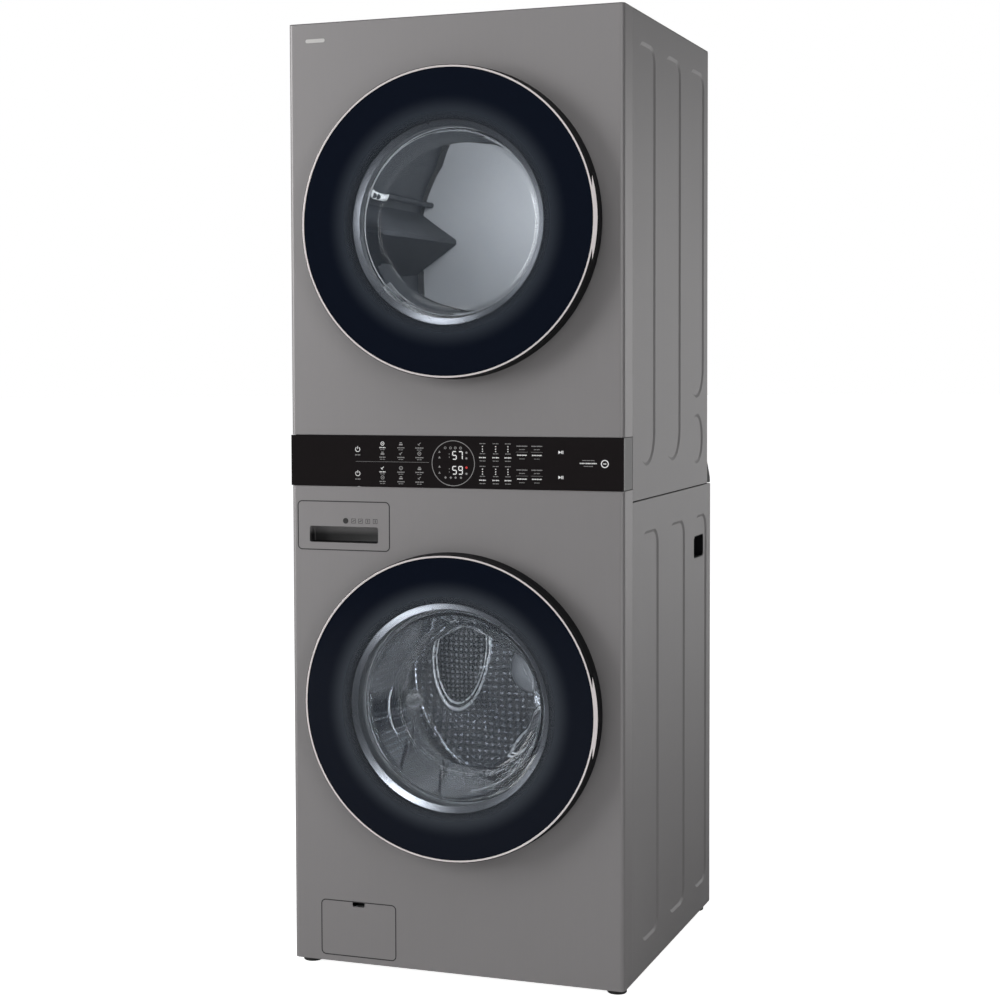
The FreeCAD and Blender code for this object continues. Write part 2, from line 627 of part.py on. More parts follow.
def lifters(count, z, radius, height, y0, y1, foot_half, first):
    """Hollow ribs inside a drum, evenly spaced, each a prism with a narrow crest along Y."""
    base = radius - 0.2

    def prism(shrink, start, end):
        foot = foot_half - 2 * shrink
        seat = math.sqrt(base ** 2 - foot ** 2) + shrink
        crest = base - height + shrink
        outline = [(-foot, seat), (-12 + shrink, crest + 10), (-5, crest), (5, crest),
                   (12 - shrink, crest + 10), (foot, seat)]
        wire = Part.makePolygon([vec(x, start, z - r) for x, r in outline + outline[:1]])
        return Part.Face(wire).extrude(vec(0, end - start, 0))
    ribs = []
    for i in range(count):
        rib = prism(0.0, y0, y1).cut(prism(LIFTER_WALL, y0 + LIFTER_WALL, y1 - LIFTER_WALL))
        rib.rotate(vec(0, 0, z), Y_AXIS, 360 / count * (i + first))
        ribs.append(rib)
    return group(ribs)


def washer_lifters():
    wall = DRUM_R - DRUM_WALL
    return lifters(3, WASHER_Z, wall, LIFTER_HEIGHT, DRUM_Y + 34, DRUM_BACK - 26, 42.0, LIFTER_TURN)


def drum_spider():
    """Three-armed casting behind the drum with the drum shaft in its hub."""
    y0 = DRUM_BACK + 0.2
    hub = disc(0, WASHER_Z, y0, y0 + 8, 44)
    arms = []
    for i in range(3):
        arm = box(-14, 14, y0, y0 + 7, WASHER_Z, WASHER_Z + DRUM_R - 14)
        arm.rotate(vec(0, 0, WASHER_Z), Y_AXIS, 120 * i)
        arms.append(arm)
    shaft = disc(0, WASHER_Z, y0, ROTOR_Y + MOTOR_DEPTH + 10, SHAFT_R)
    return joined([hub, shaft] + arms)


def motor_stator():
    """Ring of copper-wound poles on a plate that is screwed to the tub's back."""
    core = tube(0, WASHER_Z, ROTOR_Y, ROTOR_Y + MOTOR_DEPTH - 14, STATOR_R - 22, 66)
    poles = []
    count = 36
    root = WASHER_Z + STATOR_R - 26
    for i in range(count):
        pole = box(-6.5, 6.5, ROTOR_Y + 2, ROTOR_Y + MOTOR_DEPTH - 16, root, WASHER_Z + STATOR_R)
        pole.rotate(vec(0, 0, WASHER_Z), Y_AXIS, 360 / count * i)
        poles.append(pole)
    return joined([core] + poles)


def motor_rotor():
    """Cup with magnets that turns outside the stator, splined on the drum shaft."""
    back = ROTOR_Y + MOTOR_DEPTH
    cup = turned([(SHAFT_R, back - 8), (40, back - 8), (46, back - 3), (ROTOR_R - 6, back - 3),
                  (ROTOR_R - 6, ROTOR_Y), (ROTOR_R, ROTOR_Y), (ROTOR_R, back), (40, back), (40, back + 4),
                  (SHAFT_R, back + 4)], WASHER_Z)
    windows = []
    for i in range(12):
        hole = disc(0, WASHER_Z + 96, ROTOR_Y, back + 2, 16)
        hole.rotate(vec(0, 0, WASHER_Z), Y_AXIS, 30 * i)
        windows.append(hole)
    return cup.cut(joined(windows))


def counterweights():
    """Cast blocks that steady the tub: two beside its mouth and one on its crown."""
    ring = turned([(MOUTH_R + 24, TUB_Y - 26), (TUB_R - 4, TUB_Y - 26), (TUB_R - 4, TUB_Y - 0.4),
                   (MOUTH_R + 24, TUB_Y - 0.4)], WASHER_Z)
    flanks = []
    for side in (-1, 1):
        xs = sorted((side * 120, side * TUB_R))
        flank = ring.common(box(xs[0], xs[1], TUB_Y - 30, TUB_Y, WASHER_Z - 260, WASHER_Z - 60))
        flanks.append(flank)
    return group(flanks)


def tub_suspension():
    """Four hanger springs above the tub and three friction dampers below it."""
    pieces = []
    for x in (-232, 232):
        for y in (TUB_Y + 70, TUB_BACK - 60):
            low = WASHER_Z + math.sqrt(TUB_R ** 2 - (abs(x) - 8) ** 2) + 1
            high = min(low + 96, DRAWER_Z[0] - 12)
            pieces.append(post(x, y, low, high, 8.0))
    base = FOOT_GAP + 2 + 2 * SHEET + 0.2
    for x, y in ((-105, TUB_Y + 80), (205, TUB_Y + 80), (150, TUB_BACK - 90)):
        top = WASHER_Z - math.sqrt(TUB_R ** 2 - (abs(x) - 14) ** 2) - 1
        body = post(x, y, base, base + 0.55 * (top - base), 13.0)
        rod = post(x, y, base + 0.5 * (top - base), top, 6.0)
        pieces.append(body.fuse(rod))
    return group(pieces)


def drain_pump():
    """Pump body low at the front, its filter chamber opening forwards behind the flap."""
    x = (FLAP_X[0] + FLAP_X[1]) / 2
    z = (FLAP_Z[0] + FLAP_Z[1]) / 2
    y0 = FRONT + 22
    chamber = tube(x, z, y0, y0 + 90, FILTER_CAP_R + 6, FILTER_CAP_R + 1)
    end = disc(x, z, y0 + 90, y0 + 96, FILTER_CAP_R + 6)
    motor = disc(x, z, y0 + 96, y0 + 150, 26)
    inlet = post(x, y0 + 60, z + FILTER_CAP_R + 3, z + 120, 16)
    return joined([chamber, end, motor, inlet])


def pump_filter():
    """Screw-in filter: a cap with a bar handle and a strainer behind it."""
    x = (FLAP_X[0] + FLAP_X[1]) / 2
    z = (FLAP_Z[0] + FLAP_Z[1]) / 2
    y0 = FRONT + 20
    cap = disc(x, z, y0, y0 + 12, FILTER_CAP_R)
    bar = box(x - FILTER_CAP_R + 6, x + FILTER_CAP_R - 6, y0 - 8, y0, z - 4, z + 4)
    strainer = tube(x, z, y0 + 12, y0 + 80, FILTER_CAP_R - 6, FILTER_CAP_R - 9)
    return joined([cap, bar, strainer])


def drain_flap():
    """Painted cover of the drain filter; it tilts out about its lower edge."""
    flap = slab_y(FLAP_X, FLAP_Z, FRONT, FRONT + FLAP_WALL, DRAWER_CORNER)
    x = (FLAP_X[0] + FLAP_X[1]) / 2
    notch = slab_y((x - 13, x + 13), (FLAP_Z[1] - 10, FLAP_Z[1] + 10), FRONT - 1, FRONT + 5, 3.0)
    return flap.cut(notch)


def inlet_valves():
    """Hot and cold solenoid valves with 3/4 inch threaded spouts, and the drain elbow."""
    pieces = []
    for x, z in valve_places():
        body = box(x - 18, x + 18, BACK - 60, BACK - 8, z - 20, z + 20)
        spout = tube(x, z, BACK - 8, BACK - 8 + SPOUT_LENGTH, SPOUT_R, SPOUT_R - 4)
        pieces.append(body.fuse(spout))
    drain = tube(DRAIN_X, DRAIN_Z, DEPTH / 2 - DRAIN_LENGTH, DEPTH / 2, DRAIN_R, DRAIN_R - 3)
    pieces.append(drain)
    return group(pieces)


def terminal_cover():
    """Box over the mains terminals, low on the dryer's back, with a gland hole under it."""
    x0, x1 = 190.0, 292.0
    z0 = JOINT_Z + 76
    shell = box(x0, x1, DRYER_BACK - SHEET, DRYER_BACK + 16, z0, z0 + 74)
    hollow = box(x0 + 2, x1 - 2, DRYER_BACK - SHEET - 1, DRYER_BACK + 14, z0 + 2, z0 + 72)
    gland = post((x0 + x1) / 2, DRYER_BACK + 7, z0 - 1, z0 + 4, 6.0)
    return shell.cut(hollow).cut(gland)


# ---------------------------------------------------------------- drawer

def drawer_front():
    """Painted drawer face with a finger scoop."""
    y1 = FRONT + 6
    face = slab_y(DRAWER_X, DRAWER_Z, FRONT, y1, DRAWER_CORNER)
    scoop = slab_y(GRIP_X, GRIP_Z, FRONT - 1, y1 + 1, 4.0)
    pocket = box(GRIP_X[0] - 2, GRIP_X[1] + 2, y1, FRONT + GRIP_DEPTH + 2, GRIP_Z[0] - 2, GRIP_Z[1] + 12)
    hollow = box(GRIP_X[0], GRIP_X[1], y1 - 1, FRONT + GRIP_DEPTH, GRIP_Z[0], GRIP_Z[1] + 10)
    return face.cut(scoop).fuse(pocket.cut(hollow))


def drawer_tray():
    """Open tray with three compartments behind the drawer's face."""
    x0 = DRAWER_X[0] + 14
    x1 = DRAWER_X[1] - 6
    y0 = FRONT + GRIP_DEPTH + 2.4
    y1 = y0 + DRAWER_TRAY_DEPTH
    z0 = DRAWER_Z[0] + 5
    z1 = DRAWER_Z[1] - 22
    tray = box(x0, x1, y0, y1, z0, z1)
    third = (x1 - x0) / 3
    for i in range(3):
        low = x0 + DRAWER_WALL + i * third - (DRAWER_WALL / 2 if i else 0)
        high = x0 + (i + 1) * third - (DRAWER_WALL if i == 2 else DRAWER_WALL / 2)
        tray = tray.cut(box(low, high, y0 + DRAWER_WALL, y1 - DRAWER_WALL, z0 + DRAWER_WALL, z1 + 1))
    return tray


def dispenser_housing():
    """Box that the drawer slides in, open at the front and drained at the back."""
    x0 = DRAWER_X[0] + 9
    x1 = DRAWER_X[1] - 1
    y0 = FRONT + SHEET + PANEL_GAP + 6
    y1 = FRONT + GRIP_DEPTH + 2.4 + DRAWER_TRAY_DEPTH + 8
    z0 = DRAWER_Z[0] + 1
    z1 = DRAWER_Z[1] - 4
    outer = box(x0, x1, y0, y1, z0, z1)
    return outer.cut(box(x0 + 2, x1 - 2, y0 - 1, y1 - 2, z0 + 2, z1 - 2))


# ---------------------------------------------------------------- dryer inside

def dryer_front_bulkhead():
    """Fixed front ring that closes the drum's front and holds the lint filter's pocket."""
    y0 = FRONT + 30
    y1 = TUMBLER_Y - 2
    ring = turned([(TUMBLER_MOUTH_R, y0), (TUMBLER_R - 10, y0), (TUMBLER_R - 10, y1), (TUMBLER_R - 14, y1),
                   (TUMBLER_R - 14, y0 + 3), (TUMBLER_MOUTH_R + 3, y0 + 3), (TUMBLER_MOUTH_R + 3, y1),
                   (TUMBLER_MOUTH_R, y1)], DRYER_Z)
    top = lint_top()
    half = LINT_WIDTH / 2 + 1
    low = top - LINT_HEIGHT
    pocket = box(-half - 3, half + 3, lint_y() - 4, lint_y() + LINT_THICK + 4, low - 5, top - 3)
    slot = box(-half, half, lint_y() - 1, lint_y() + LINT_THICK + 1, low - 1.5, top + 20)
    passage = box(-80, 80, lint_y() - 8, lint_y() + LINT_THICK + 8, low + 8, top - 30)
    return ring.fuse(pocket).cut(slot).cut(passage)


def lint_y():
    return FRONT + 50.0


def lint_top():
    """Height of the lint filter's top bar, flush with the mouth's lowest edge at its ends."""
    return DRYER_Z - math.sqrt(TUMBLER_MOUTH_R ** 2 - (LINT_WIDTH / 2) ** 2) - 4


def lint_filter():
    """Framed screen with a grip bar; it lifts straight out of its pocket."""
    y0 = lint_y()
    top = lint_top()
    half = LINT_WIDTH / 2
    low = top - LINT_HEIGHT
    middle = y0 + LINT_THICK / 2
    frame = box(-half, half, y0, y0 + LINT_THICK, low, top)
    ahead = box(-half + 9, half - 9, y0 - 1, middle - 0.6, low + 9, top - 14)
    behind = box(-half + 9, half - 9, middle + 0.6, y0 + LINT_THICK + 1, low + 9, top - 14)
    return frame.cut(ahead).cut(behind)


def dryer_rear_bulkhead():
    """Fixed wall behind the drum with a ring that seals to it and a centre bearing."""
    y0 = TUMBLER_BACK + 2
    wall = turned([(9 + RUN_FIT, y0), (TUMBLER_R + 6, y0), (TUMBLER_R + 6, y0 + 2), (24, y0 + 2),
                   (24, y0 + 14), (9 + RUN_FIT, y0 + 14)], DRYER_Z)
    vents = []
    for row in range(4):
        for i in range(10 + 2 * row):
            hole = disc(0, DRYER_Z + 96 + 22 * row, y0 - 1, y0 + 3, 5)
            hole.rotate(vec(0, 0, DRYER_Z), Y_AXIS, 100 + 160 / (9 + 2 * row) * i)
            vents.append(hole)
    return wall.cut(group(vents))


def heater_housing():
    """Duct with the heating element, flat against the rear bulkhead's lower half."""
    y0 = TUMBLER_BACK + 4.4
    y1 = DRYER_BACK - 2 * SHEET - PANEL_GAP - 3
    shell = turned([(60, y0), (190, y0), (190, y1), (60, y1)], DRYER_Z)
    hollow = turned([(62, y0 + 2), (188, y0 + 2), (188, y1 - 2), (62, y1 - 2)], DRYER_Z)
    lower = box(-200, 200, y0 - 1, y1 + 1, DRYER_Z - 200, DRYER_Z - 26)
    lower_hollow = box(-200, 200, y0, y1, DRYER_Z - 200, DRYER_Z - 28)
    return shell.common(lower).cut(hollow.common(lower_hollow))


def dryer_drum():
    """Drum with curled front edge; its closed back turns on a stub shaft in the bulkhead."""
    wall = TUMBLER_WALL
    inner = TUMBLER_R - wall
    lip = TUMBLER_MOUTH_R + 30
    back = TUMBLER_BACK
    return turned([(lip, TUMBLER_Y), (TUMBLER_R - 12, TUMBLER_Y), (TUMBLER_R, TUMBLER_Y + 12),
                   (TUMBLER_R, back), (9, back), (9, back + 14), (0, back + 14), (0, back - 3),
                   (150, back - 3), (152, back - wall), (inner, back - wall), (inner, TUMBLER_Y + 13),
                   (TUMBLER_R - 13, TUMBLER_Y + wall), (lip, TUMBLER_Y + wall)], DRYER_Z)


def dryer_baffles():
    wall = TUMBLER_R - TUMBLER_WALL
    y0 = TUMBLER_Y + 18
    y1 = TUMBLER_BACK - 6
    return lifters(3, DRYER_Z, wall, BAFFLE_HEIGHT, y0, y1, 68.0, BAFFLE_TURN)


def belt_angle():
    """Angle of the belt's straight runs from the line that joins drum and pulley."""
    span = math.hypot(MOTOR_X, DRYER_Z - MOTOR_Z)
    return math.acos((TUMBLER_R - PULLEY_R) / span)


def belt_loop(grow):
    """Flat face of the belt's outline: two arcs and two tangent runs, grown outwards."""
    toward = math.atan2(MOTOR_Z - DRYER_Z, MOTOR_X)
    swing = belt_angle()

    def at(cx, cz, radius, angle):
        return vec(cx + radius * math.cos(angle), BELT_Y, cz + radius * math.sin(angle))
    big = TUMBLER_R + grow
    small = PULLEY_R + grow
    a = at(0, DRYER_Z, big, toward + swing)
    b = at(0, DRYER_Z, big, toward + math.pi)
    c = at(0, DRYER_Z, big, toward - swing)
    d = at(MOTOR_X, MOTOR_Z, small, toward - swing)
    e = at(MOTOR_X, MOTOR_Z, small, toward)
    f = at(MOTOR_X, MOTOR_Z, small, toward + swing)
    wire = Part.Wire([Part.Arc(a, b, c).toShape(), Part.makeLine(c, d), Part.Arc(d, e, f).toShape(),
                      Part.makeLine(f, a)])
    return Part.Face(wire)


def drive_belt():
    outer = belt_loop(BELT_GAP + BELT).extrude(vec(0, BELT_WIDTH, 0))
    return outer.cut(belt_loop(BELT_GAP).extrude(vec(0, BELT_WIDTH, 0)))


def dryer_motor():
    """Induction motor on a saddle, with a through bore for the shaft."""
    y1 = BELT_Y - 12
    y0 = y1 - MOTOR_LENGTH
    body = disc(MOTOR_X, MOTOR_Z, y0, y1, MOTOR_R)
    saddle = []
    for y in (y0 + 6, y1 - 10):
        saddle.append(box(MOTOR_X - 46, MOTOR_X + 46, y, y + 4, JOINT_Z + 4 * PANEL_GAP, MOTOR_Z))
    return joined([body] + saddle).cut(disc(MOTOR_X, MOTOR_Z, y0 - 1, y1 + 1, 8 + RUN_FIT))


def blower_front():
    """Front of the blower wheel, ahead of the motor and the scroll's back wall."""
    return BELT_Y - 12 - MOTOR_LENGTH - 66


def blower_wheel():
    """Motor shaft with the belt pulley at one end and the vaned blower wheel at the other."""
    wheel_y = blower_front()
    shaft = disc(MOTOR_X, MOTOR_Z, wheel_y, BELT_Y + BELT_WIDTH + 4, 8)
    pulley = disc(MOTOR_X, MOTOR_Z, BELT_Y - 3, BELT_Y + BELT_WIDTH + 3, PULLEY_R)
    plate = disc(MOTOR_X, MOTOR_Z, wheel_y + 52, wheel_y + 55, BLOWER_R)
    vanes = []
    tip = MOTOR_Z + BLOWER_R - 1
    for i in range(16):
        vane = box(MOTOR_X - 1.5, MOTOR_X + 1.5, wheel_y, wheel_y + 53, tip - 25, tip)
        vane.rotate(vec(MOTOR_X, 0, MOTOR_Z), Y_AXIS, 22.5 * i)
        vanes.append(vane)
    return joined([shaft, pulley, plate] + vanes)


def exhaust_duct():
    """Blower scroll and the round duct that carries its air out through the back."""
    y0 = blower_front() - 5
    y1 = blower_front() + 60
    wall = 1.6
    drum = disc(MOTOR_X, MOTOR_Z, y0, y1, BLOWER_R + 8)
    hollow = disc(MOTOR_X, MOTOR_Z, y0 + wall, y1 - wall, BLOWER_R + 8 - wall)
    throat = box(-DUCT_R, MOTOR_X, y0, y1, DUCT_Z - DUCT_R, DUCT_Z + DUCT_R)
    low = DUCT_Z - DUCT_R + wall
    high = DUCT_Z + DUCT_R - wall
    throat_in = box(-DUCT_R + wall, MOTOR_X, y0 + wall, y1 - wall, low, high)
    outlet = disc(0, DUCT_Z, y1 - wall - 1, y1 + 1, DUCT_R - DUCT_WALL)
    scroll = drum.fuse(throat).cut(hollow.fuse(throat_in)).cut(outlet)
    inlet = disc(MOTOR_X, MOTOR_Z, y0 - 1, y0 + wall + 1, 62)
    shaft = disc(MOTOR_X, MOTOR_Z, y1 - wall - 1, y1 + 1, 14)
    pipe = tube(0, DUCT_Z, y1, DEPTH / 2, DUCT_R, DUCT_R - DUCT_WALL)
    stop = DRYER_BACK - 3 * SHEET - 2 * PANEL_GAP
    collar = tube(0, DUCT_Z, stop - 4, stop, DUCT_R + 6, DUCT_R - DUCT_WALL)
    return group([scroll.cut(inlet).cut(shaft), joined([pipe, collar])])


# ---------------------------------------------------------------- write the nodes

def build():
    nodes = {
        "base_pan": base_pan(),
        "washer_side_left": washer_side(-1),
        "washer_side_right": washer_side(1),
        "washer_rear_panel": washer_rear(),
        "washer_front_panel": washer_front(),
        "middle_deck": middle_deck(),
        "dryer_side_left": dryer_side(-1),
        "dryer_side_right": dryer_side(1),
        "dryer_rear_panel": dryer_rear(),
        "dryer_front_panel": dryer_front(),
        "top_panel": top_panel(),
        "control_glass": control_glass(),
        "control_housing": control_housing(),
        "dispenser_housing": dispenser_housing(),
        "tub_front": tub_front(),
        "tub_rear": tub_rear(),
        "door_gasket": washer_gasket(),
        "motor_stator": motor_stator(),
        "drum_bearings": drum_bearings(),
        "counterweights": counterweights(),
        "tub_suspension": tub_suspension(),
        "drain_pump": drain_pump(),
        "inlet_valves": inlet_valves(),
        "door_locks": group([lock_block(WASHER_Z), lock_block(DRYER_Z)]),
        "hand_hold_cups": group([hand_hold(-1), hand_hold(1)]),
        "rear_joint_cover": rear_joint_cover(),
        "terminal_cover": terminal_cover(),
        "dryer_front_bulkhead": dryer_front_bulkhead(),
        "dryer_rear_bulkhead": dryer_rear_bulkhead(),
        "heater_housing": heater_housing(),
        "exhaust_duct": exhaust_duct(),
        "dryer_motor": dryer_motor(),
        "drive_belt": drive_belt(),
        "hinge_brackets": group([hinge_bracket(WASHER_Z), hinge_bracket(DRYER_Z)]),
        "washer_drum": washer_drum(),
        "washer_lifters": washer_lifters(),
        "drum_spider": drum_spider(),
        "motor_rotor": motor_rotor(),
        "dryer_drum": dryer_drum(),
        "dryer_baffles": dryer_baffles(),
        "blower_wheel": blower_wheel(),
        "drawer_front": drawer_front(),
        "drawer_tray": drawer_tray(),
        "drain_cover": drain_flap(),
        "pump_filter": pump_filter(),
        "lint_filter": lint_filter(),
    }
    doors = (("washer", WASHER_Z, WASHER_WINDOW_R, WASHER_BOWL_R, WASHER_BOWL_REACH),
             ("dryer", DRYER_Z, DRYER_WINDOW_R, DRYER_BOWL_R, DRYER_BOWL_REACH))
    for name, z, window, tip, reach in doors:
        nodes[name + "_door_ring"] = rim(z)
        nodes[name + "_door_glass"] = outer_pane(z)
        nodes[name + "_door_frame"] = door_frame(z, window)
        nodes[name + "_door_bowl"] = door_bowl(z, window, tip, reach)
        nodes[name + "_door_hinge"] = door_hinge(z)
    for place in foot_places():
        nodes["foot_" + place] = foot(place)
    return nodes


os.makedirs("parts", exist_ok=True)
for node, shape in build().items():
    assert shape.isValid(), node
    assert all(s.Volume > 0 for s in shape.Solids) and shape.Solids, node
    shape.exportStep("parts/" + node + ".step")
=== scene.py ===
import json
import math

import bmesh
import bpy
from mathutils import Matrix, Vector


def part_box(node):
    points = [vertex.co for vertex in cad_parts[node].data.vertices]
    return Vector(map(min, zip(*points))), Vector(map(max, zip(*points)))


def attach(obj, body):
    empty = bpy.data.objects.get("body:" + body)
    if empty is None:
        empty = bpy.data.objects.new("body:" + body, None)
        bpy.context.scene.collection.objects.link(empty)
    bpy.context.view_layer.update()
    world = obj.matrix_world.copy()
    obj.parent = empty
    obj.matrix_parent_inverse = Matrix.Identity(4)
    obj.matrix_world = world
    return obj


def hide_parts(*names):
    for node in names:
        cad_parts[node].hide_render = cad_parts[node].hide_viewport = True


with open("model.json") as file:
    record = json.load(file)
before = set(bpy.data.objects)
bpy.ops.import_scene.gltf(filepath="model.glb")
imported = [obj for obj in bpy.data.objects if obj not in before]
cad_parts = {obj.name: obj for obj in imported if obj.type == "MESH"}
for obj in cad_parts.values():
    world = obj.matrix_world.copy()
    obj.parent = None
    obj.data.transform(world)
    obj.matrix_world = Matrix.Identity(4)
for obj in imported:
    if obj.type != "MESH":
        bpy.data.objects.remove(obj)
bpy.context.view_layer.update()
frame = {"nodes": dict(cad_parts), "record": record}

# Camera, at standing eye height to the right of the tower, and a pale floor that curves up
# into a backdrop. The view is level enough that the uprights stay nearly parallel.
front_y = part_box("dryer_front_panel")[0].y
camera_data = bpy.data.cameras.new("camera")
camera_data.lens = 74.41
camera_data.shift_x = 0.091
camera_data.shift_y = -0.045
camera = bpy.data.objects.new("camera", camera_data)
bpy.context.scene.collection.objects.link(camera)
turn = math.radians(21.287)
pitch = math.radians(-2.714)
roll = math.radians(-0.28)
forward = Vector((-math.sin(turn) * math.cos(pitch), math.cos(turn) * math.cos(pitch), math.sin(pitch)))
level = Vector((math.cos(turn), math.sin(turn), 0.0))
upright = level.cross(forward)
right = level * math.cos(roll) + upright * math.sin(roll)
pose = Matrix((right, right.cross(forward), -forward)).transposed().to_4x4()
camera.matrix_world = Matrix.Translation((1.3823, front_y - 3.7825, 1.2284)) @ pose
bpy.context.scene.camera = camera

scene = bpy.context.scene
scene.view_settings.view_transform = "Standard"

floor_mesh = bmesh.new()
bmesh.ops.create_circle(floor_mesh, cap_ends=True, segments=64, radius=60.0)
floor_data = bpy.data.meshes.new("floor")
floor_mesh.to_mesh(floor_data)
floor = bpy.data.objects.new("floor", floor_data)
scene.collection.objects.link(floor)
floor_finish = bpy.data.materials.new("pale_floor")
floor_finish.use_nodes = True
floor_shader = floor_finish.node_tree.nodes["Principled BSDF"]
floor_shader.inputs["Base Color"].default_value = (0.75, 0.75, 0.75, 1)
floor_shader.inputs["Roughness"].default_value = 0.9
floor_shader.inputs["Specular IOR Level"].default_value = 0.1
floor_shader.inputs["Emission Color"].default_value = (1, 1, 1, 1)
floor_seen = floor_finish.node_tree.nodes.new("ShaderNodeLightPath")
floor_glow = floor_finish.node_tree.nodes.new("ShaderNodeMath")
floor_glow.operation = "MULTIPLY"
floor_glow.inputs[1].default_value = 0.95
floor_finish.node_tree.links.new(floor_seen.outputs["Is Camera Ray"], floor_glow.inputs[0])
floor_finish.node_tree.links.new(floor_glow.outputs["Value"], floor_shader.inputs["Emission Strength"])
floor_data.materials.append(floor_finish)

# Studio light: a wide key from the far left, a tall strip at the right front for the rounded
# corner, a big panel behind the right side, which the flat side reflects, and two weak boxes
# above. Four small lamps stand inside the drums. Ten linked ones light a few pieces only: the
# window trims, the pieces of the washer drum and the dryer's white plastics.


def softbox(name, place, target, width, height, power, colour=(1, 1, 1)):
    lamp = bpy.data.lights.new(name, "AREA")
    lamp.shape = "RECTANGLE"
    lamp.size = width
    lamp.size_y = height
    lamp.energy = power
    lamp.color = colour
    holder = bpy.data.objects.new(name, lamp)
    holder.location = place
    holder.rotation_mode = "QUATERNION"
    holder.rotation_quaternion = (Vector(target) - Vector(place)).to_track_quat("-Z", "Y")
    scene.collection.objects.link(holder)
    return holder


glass_trims = bpy.data.collections.new("glass_trims")
drum_pieces = bpy.data.collections.new("drum_pieces")
lit_plastics = bpy.data.collections.new("lit_plastics")
lit_bands = bpy.data.collections.new("lit_bands")


def trim_light(name, pieces, place, target, width, height, power, diffuse=False):
    """Softbox that lights the given pieces only, and that only the window trims shade."""
    holder = softbox(name, place, target, width, height, power)
    holder.light_linking.receiver_collection = pieces
    holder.light_linking.blocker_collection = glass_trims
    holder.visible_diffuse = diffuse


softbox("key_left", (-4.8, -3.2, 2.4), (0, 0, 1.2), 2.4, 3.2, 225)
softbox("strip_right", (2.6, -3.0, 1.6), (0.3, -0.3, 1.0), 0.35, 3.2, 34)
softbox("panel_behind", (2.7, 4.4, 1.2), (0.3, 0, 0.9), 2.2, 2.3, 37)
softbox("front_high", (0.9, -5.4, 3.5), (0.2, 0, 1.1), 1.6, 1.2, 18)
softbox("overhead", (-0.6, -1.9, 4.4), (-0.2, 0, 1.2), 2.4, 1.6, 42)

softbox("dryer_lamp", (-0.03, -0.19, 1.60), (0.02, 0.29, 1.42), 0.16, 0.10, 3.1)
softbox("washer_lamp", (0.236, -0.10, 0.56), (-0.2, 0.05, 0.55), 0.014, 0.26, 0.9)
softbox("washer_glint", (0.10, -0.225, 0.70), (-0.05, 0.12, 0.46), 0.010, 0.12, 0.5)
softbox("washer_back", (0.03, -0.235, 0.385), (-0.05, 0.12, 0.62), 0.16, 0.010, 0.35)
trim_light("washer_trim_low", glass_trims, (-0.07, -2.72, 1.48), (-0.10, -0.37, 0.38), 0.9, 0.4, 62)
trim_light("washer_trim_high", glass_trims, (-0.16, -0.96, 0.13), (-0.09, -0.37, 0.74), 0.2, 0.1, 3.0)
trim_light("dryer_trim_low", glass_trims, (-0.74, -2.19, 2.9), (0, -0.37, 1.2), 0.6, 0.3, 26)
trim_light("drum_band", drum_pieces, (-0.858, -1.81, 0.31), (-0.174, 0.05, 0.59), 0.05, 0.42, 3.0)
trim_light("drum_band_thin", drum_pieces, (-0.745, -1.85, 0.31), (-0.174, 0.05, 0.59), 0.018, 0.42, 1.0)
trim_light("drum_wall_left", drum_pieces, (0.07, 0.82, 0.4), (-0.27, -0.1, 0.6), 0.05, 0.4, 3.0)
trim_light("drum_wall_high", drum_pieces, (-0.234, 0.82, 0.33), (-0.23, -0.1, 0.72), 0.04, 0.3, 2.4)
trim_light("drum_floor", drum_pieces, (-0.137, 0.87, 0.70), (-0.14, -0.05, 0.31), 0.3, 0.04, 3.0)
trim_light("leaf_bands", lit_bands, (0.4, -2.2, 1.1), (-0.1, 0, 0.6), 0.3, 0.3, 60, diffuse=True)
trim_light("dryer_plastic", lit_plastics, (-0.7, -2.4, 1.9), (-0.18, -0.2, 1.4), 0.4, 0.4, 60, diffuse=True)

world = bpy.data.worlds.new("studio")
world.use_nodes = True
scene.world = world
sky = world.node_tree.nodes["Background"]
sky.inputs["Color"].default_value = (1, 1, 1, 1)
seen = world.node_tree.nodes.new("ShaderNodeLightPath")
brightness = world.node_tree.nodes.new("ShaderNodeMix")
brightness.inputs["A"].default_value = 0.17
brightness.inputs["B"].default_value = 1.0
world.node_tree.links.new(seen.outputs["Is Camera Ray"], brightness.inputs["Factor"])
world.node_tree.links.new(brightness.outputs["Result"], sky.inputs["Strength"])

# Painted steel of the cabinet: satin graphite with a very fine upright grain. The folded
# panels are taken from the frame, merged, and given small rolled edges.


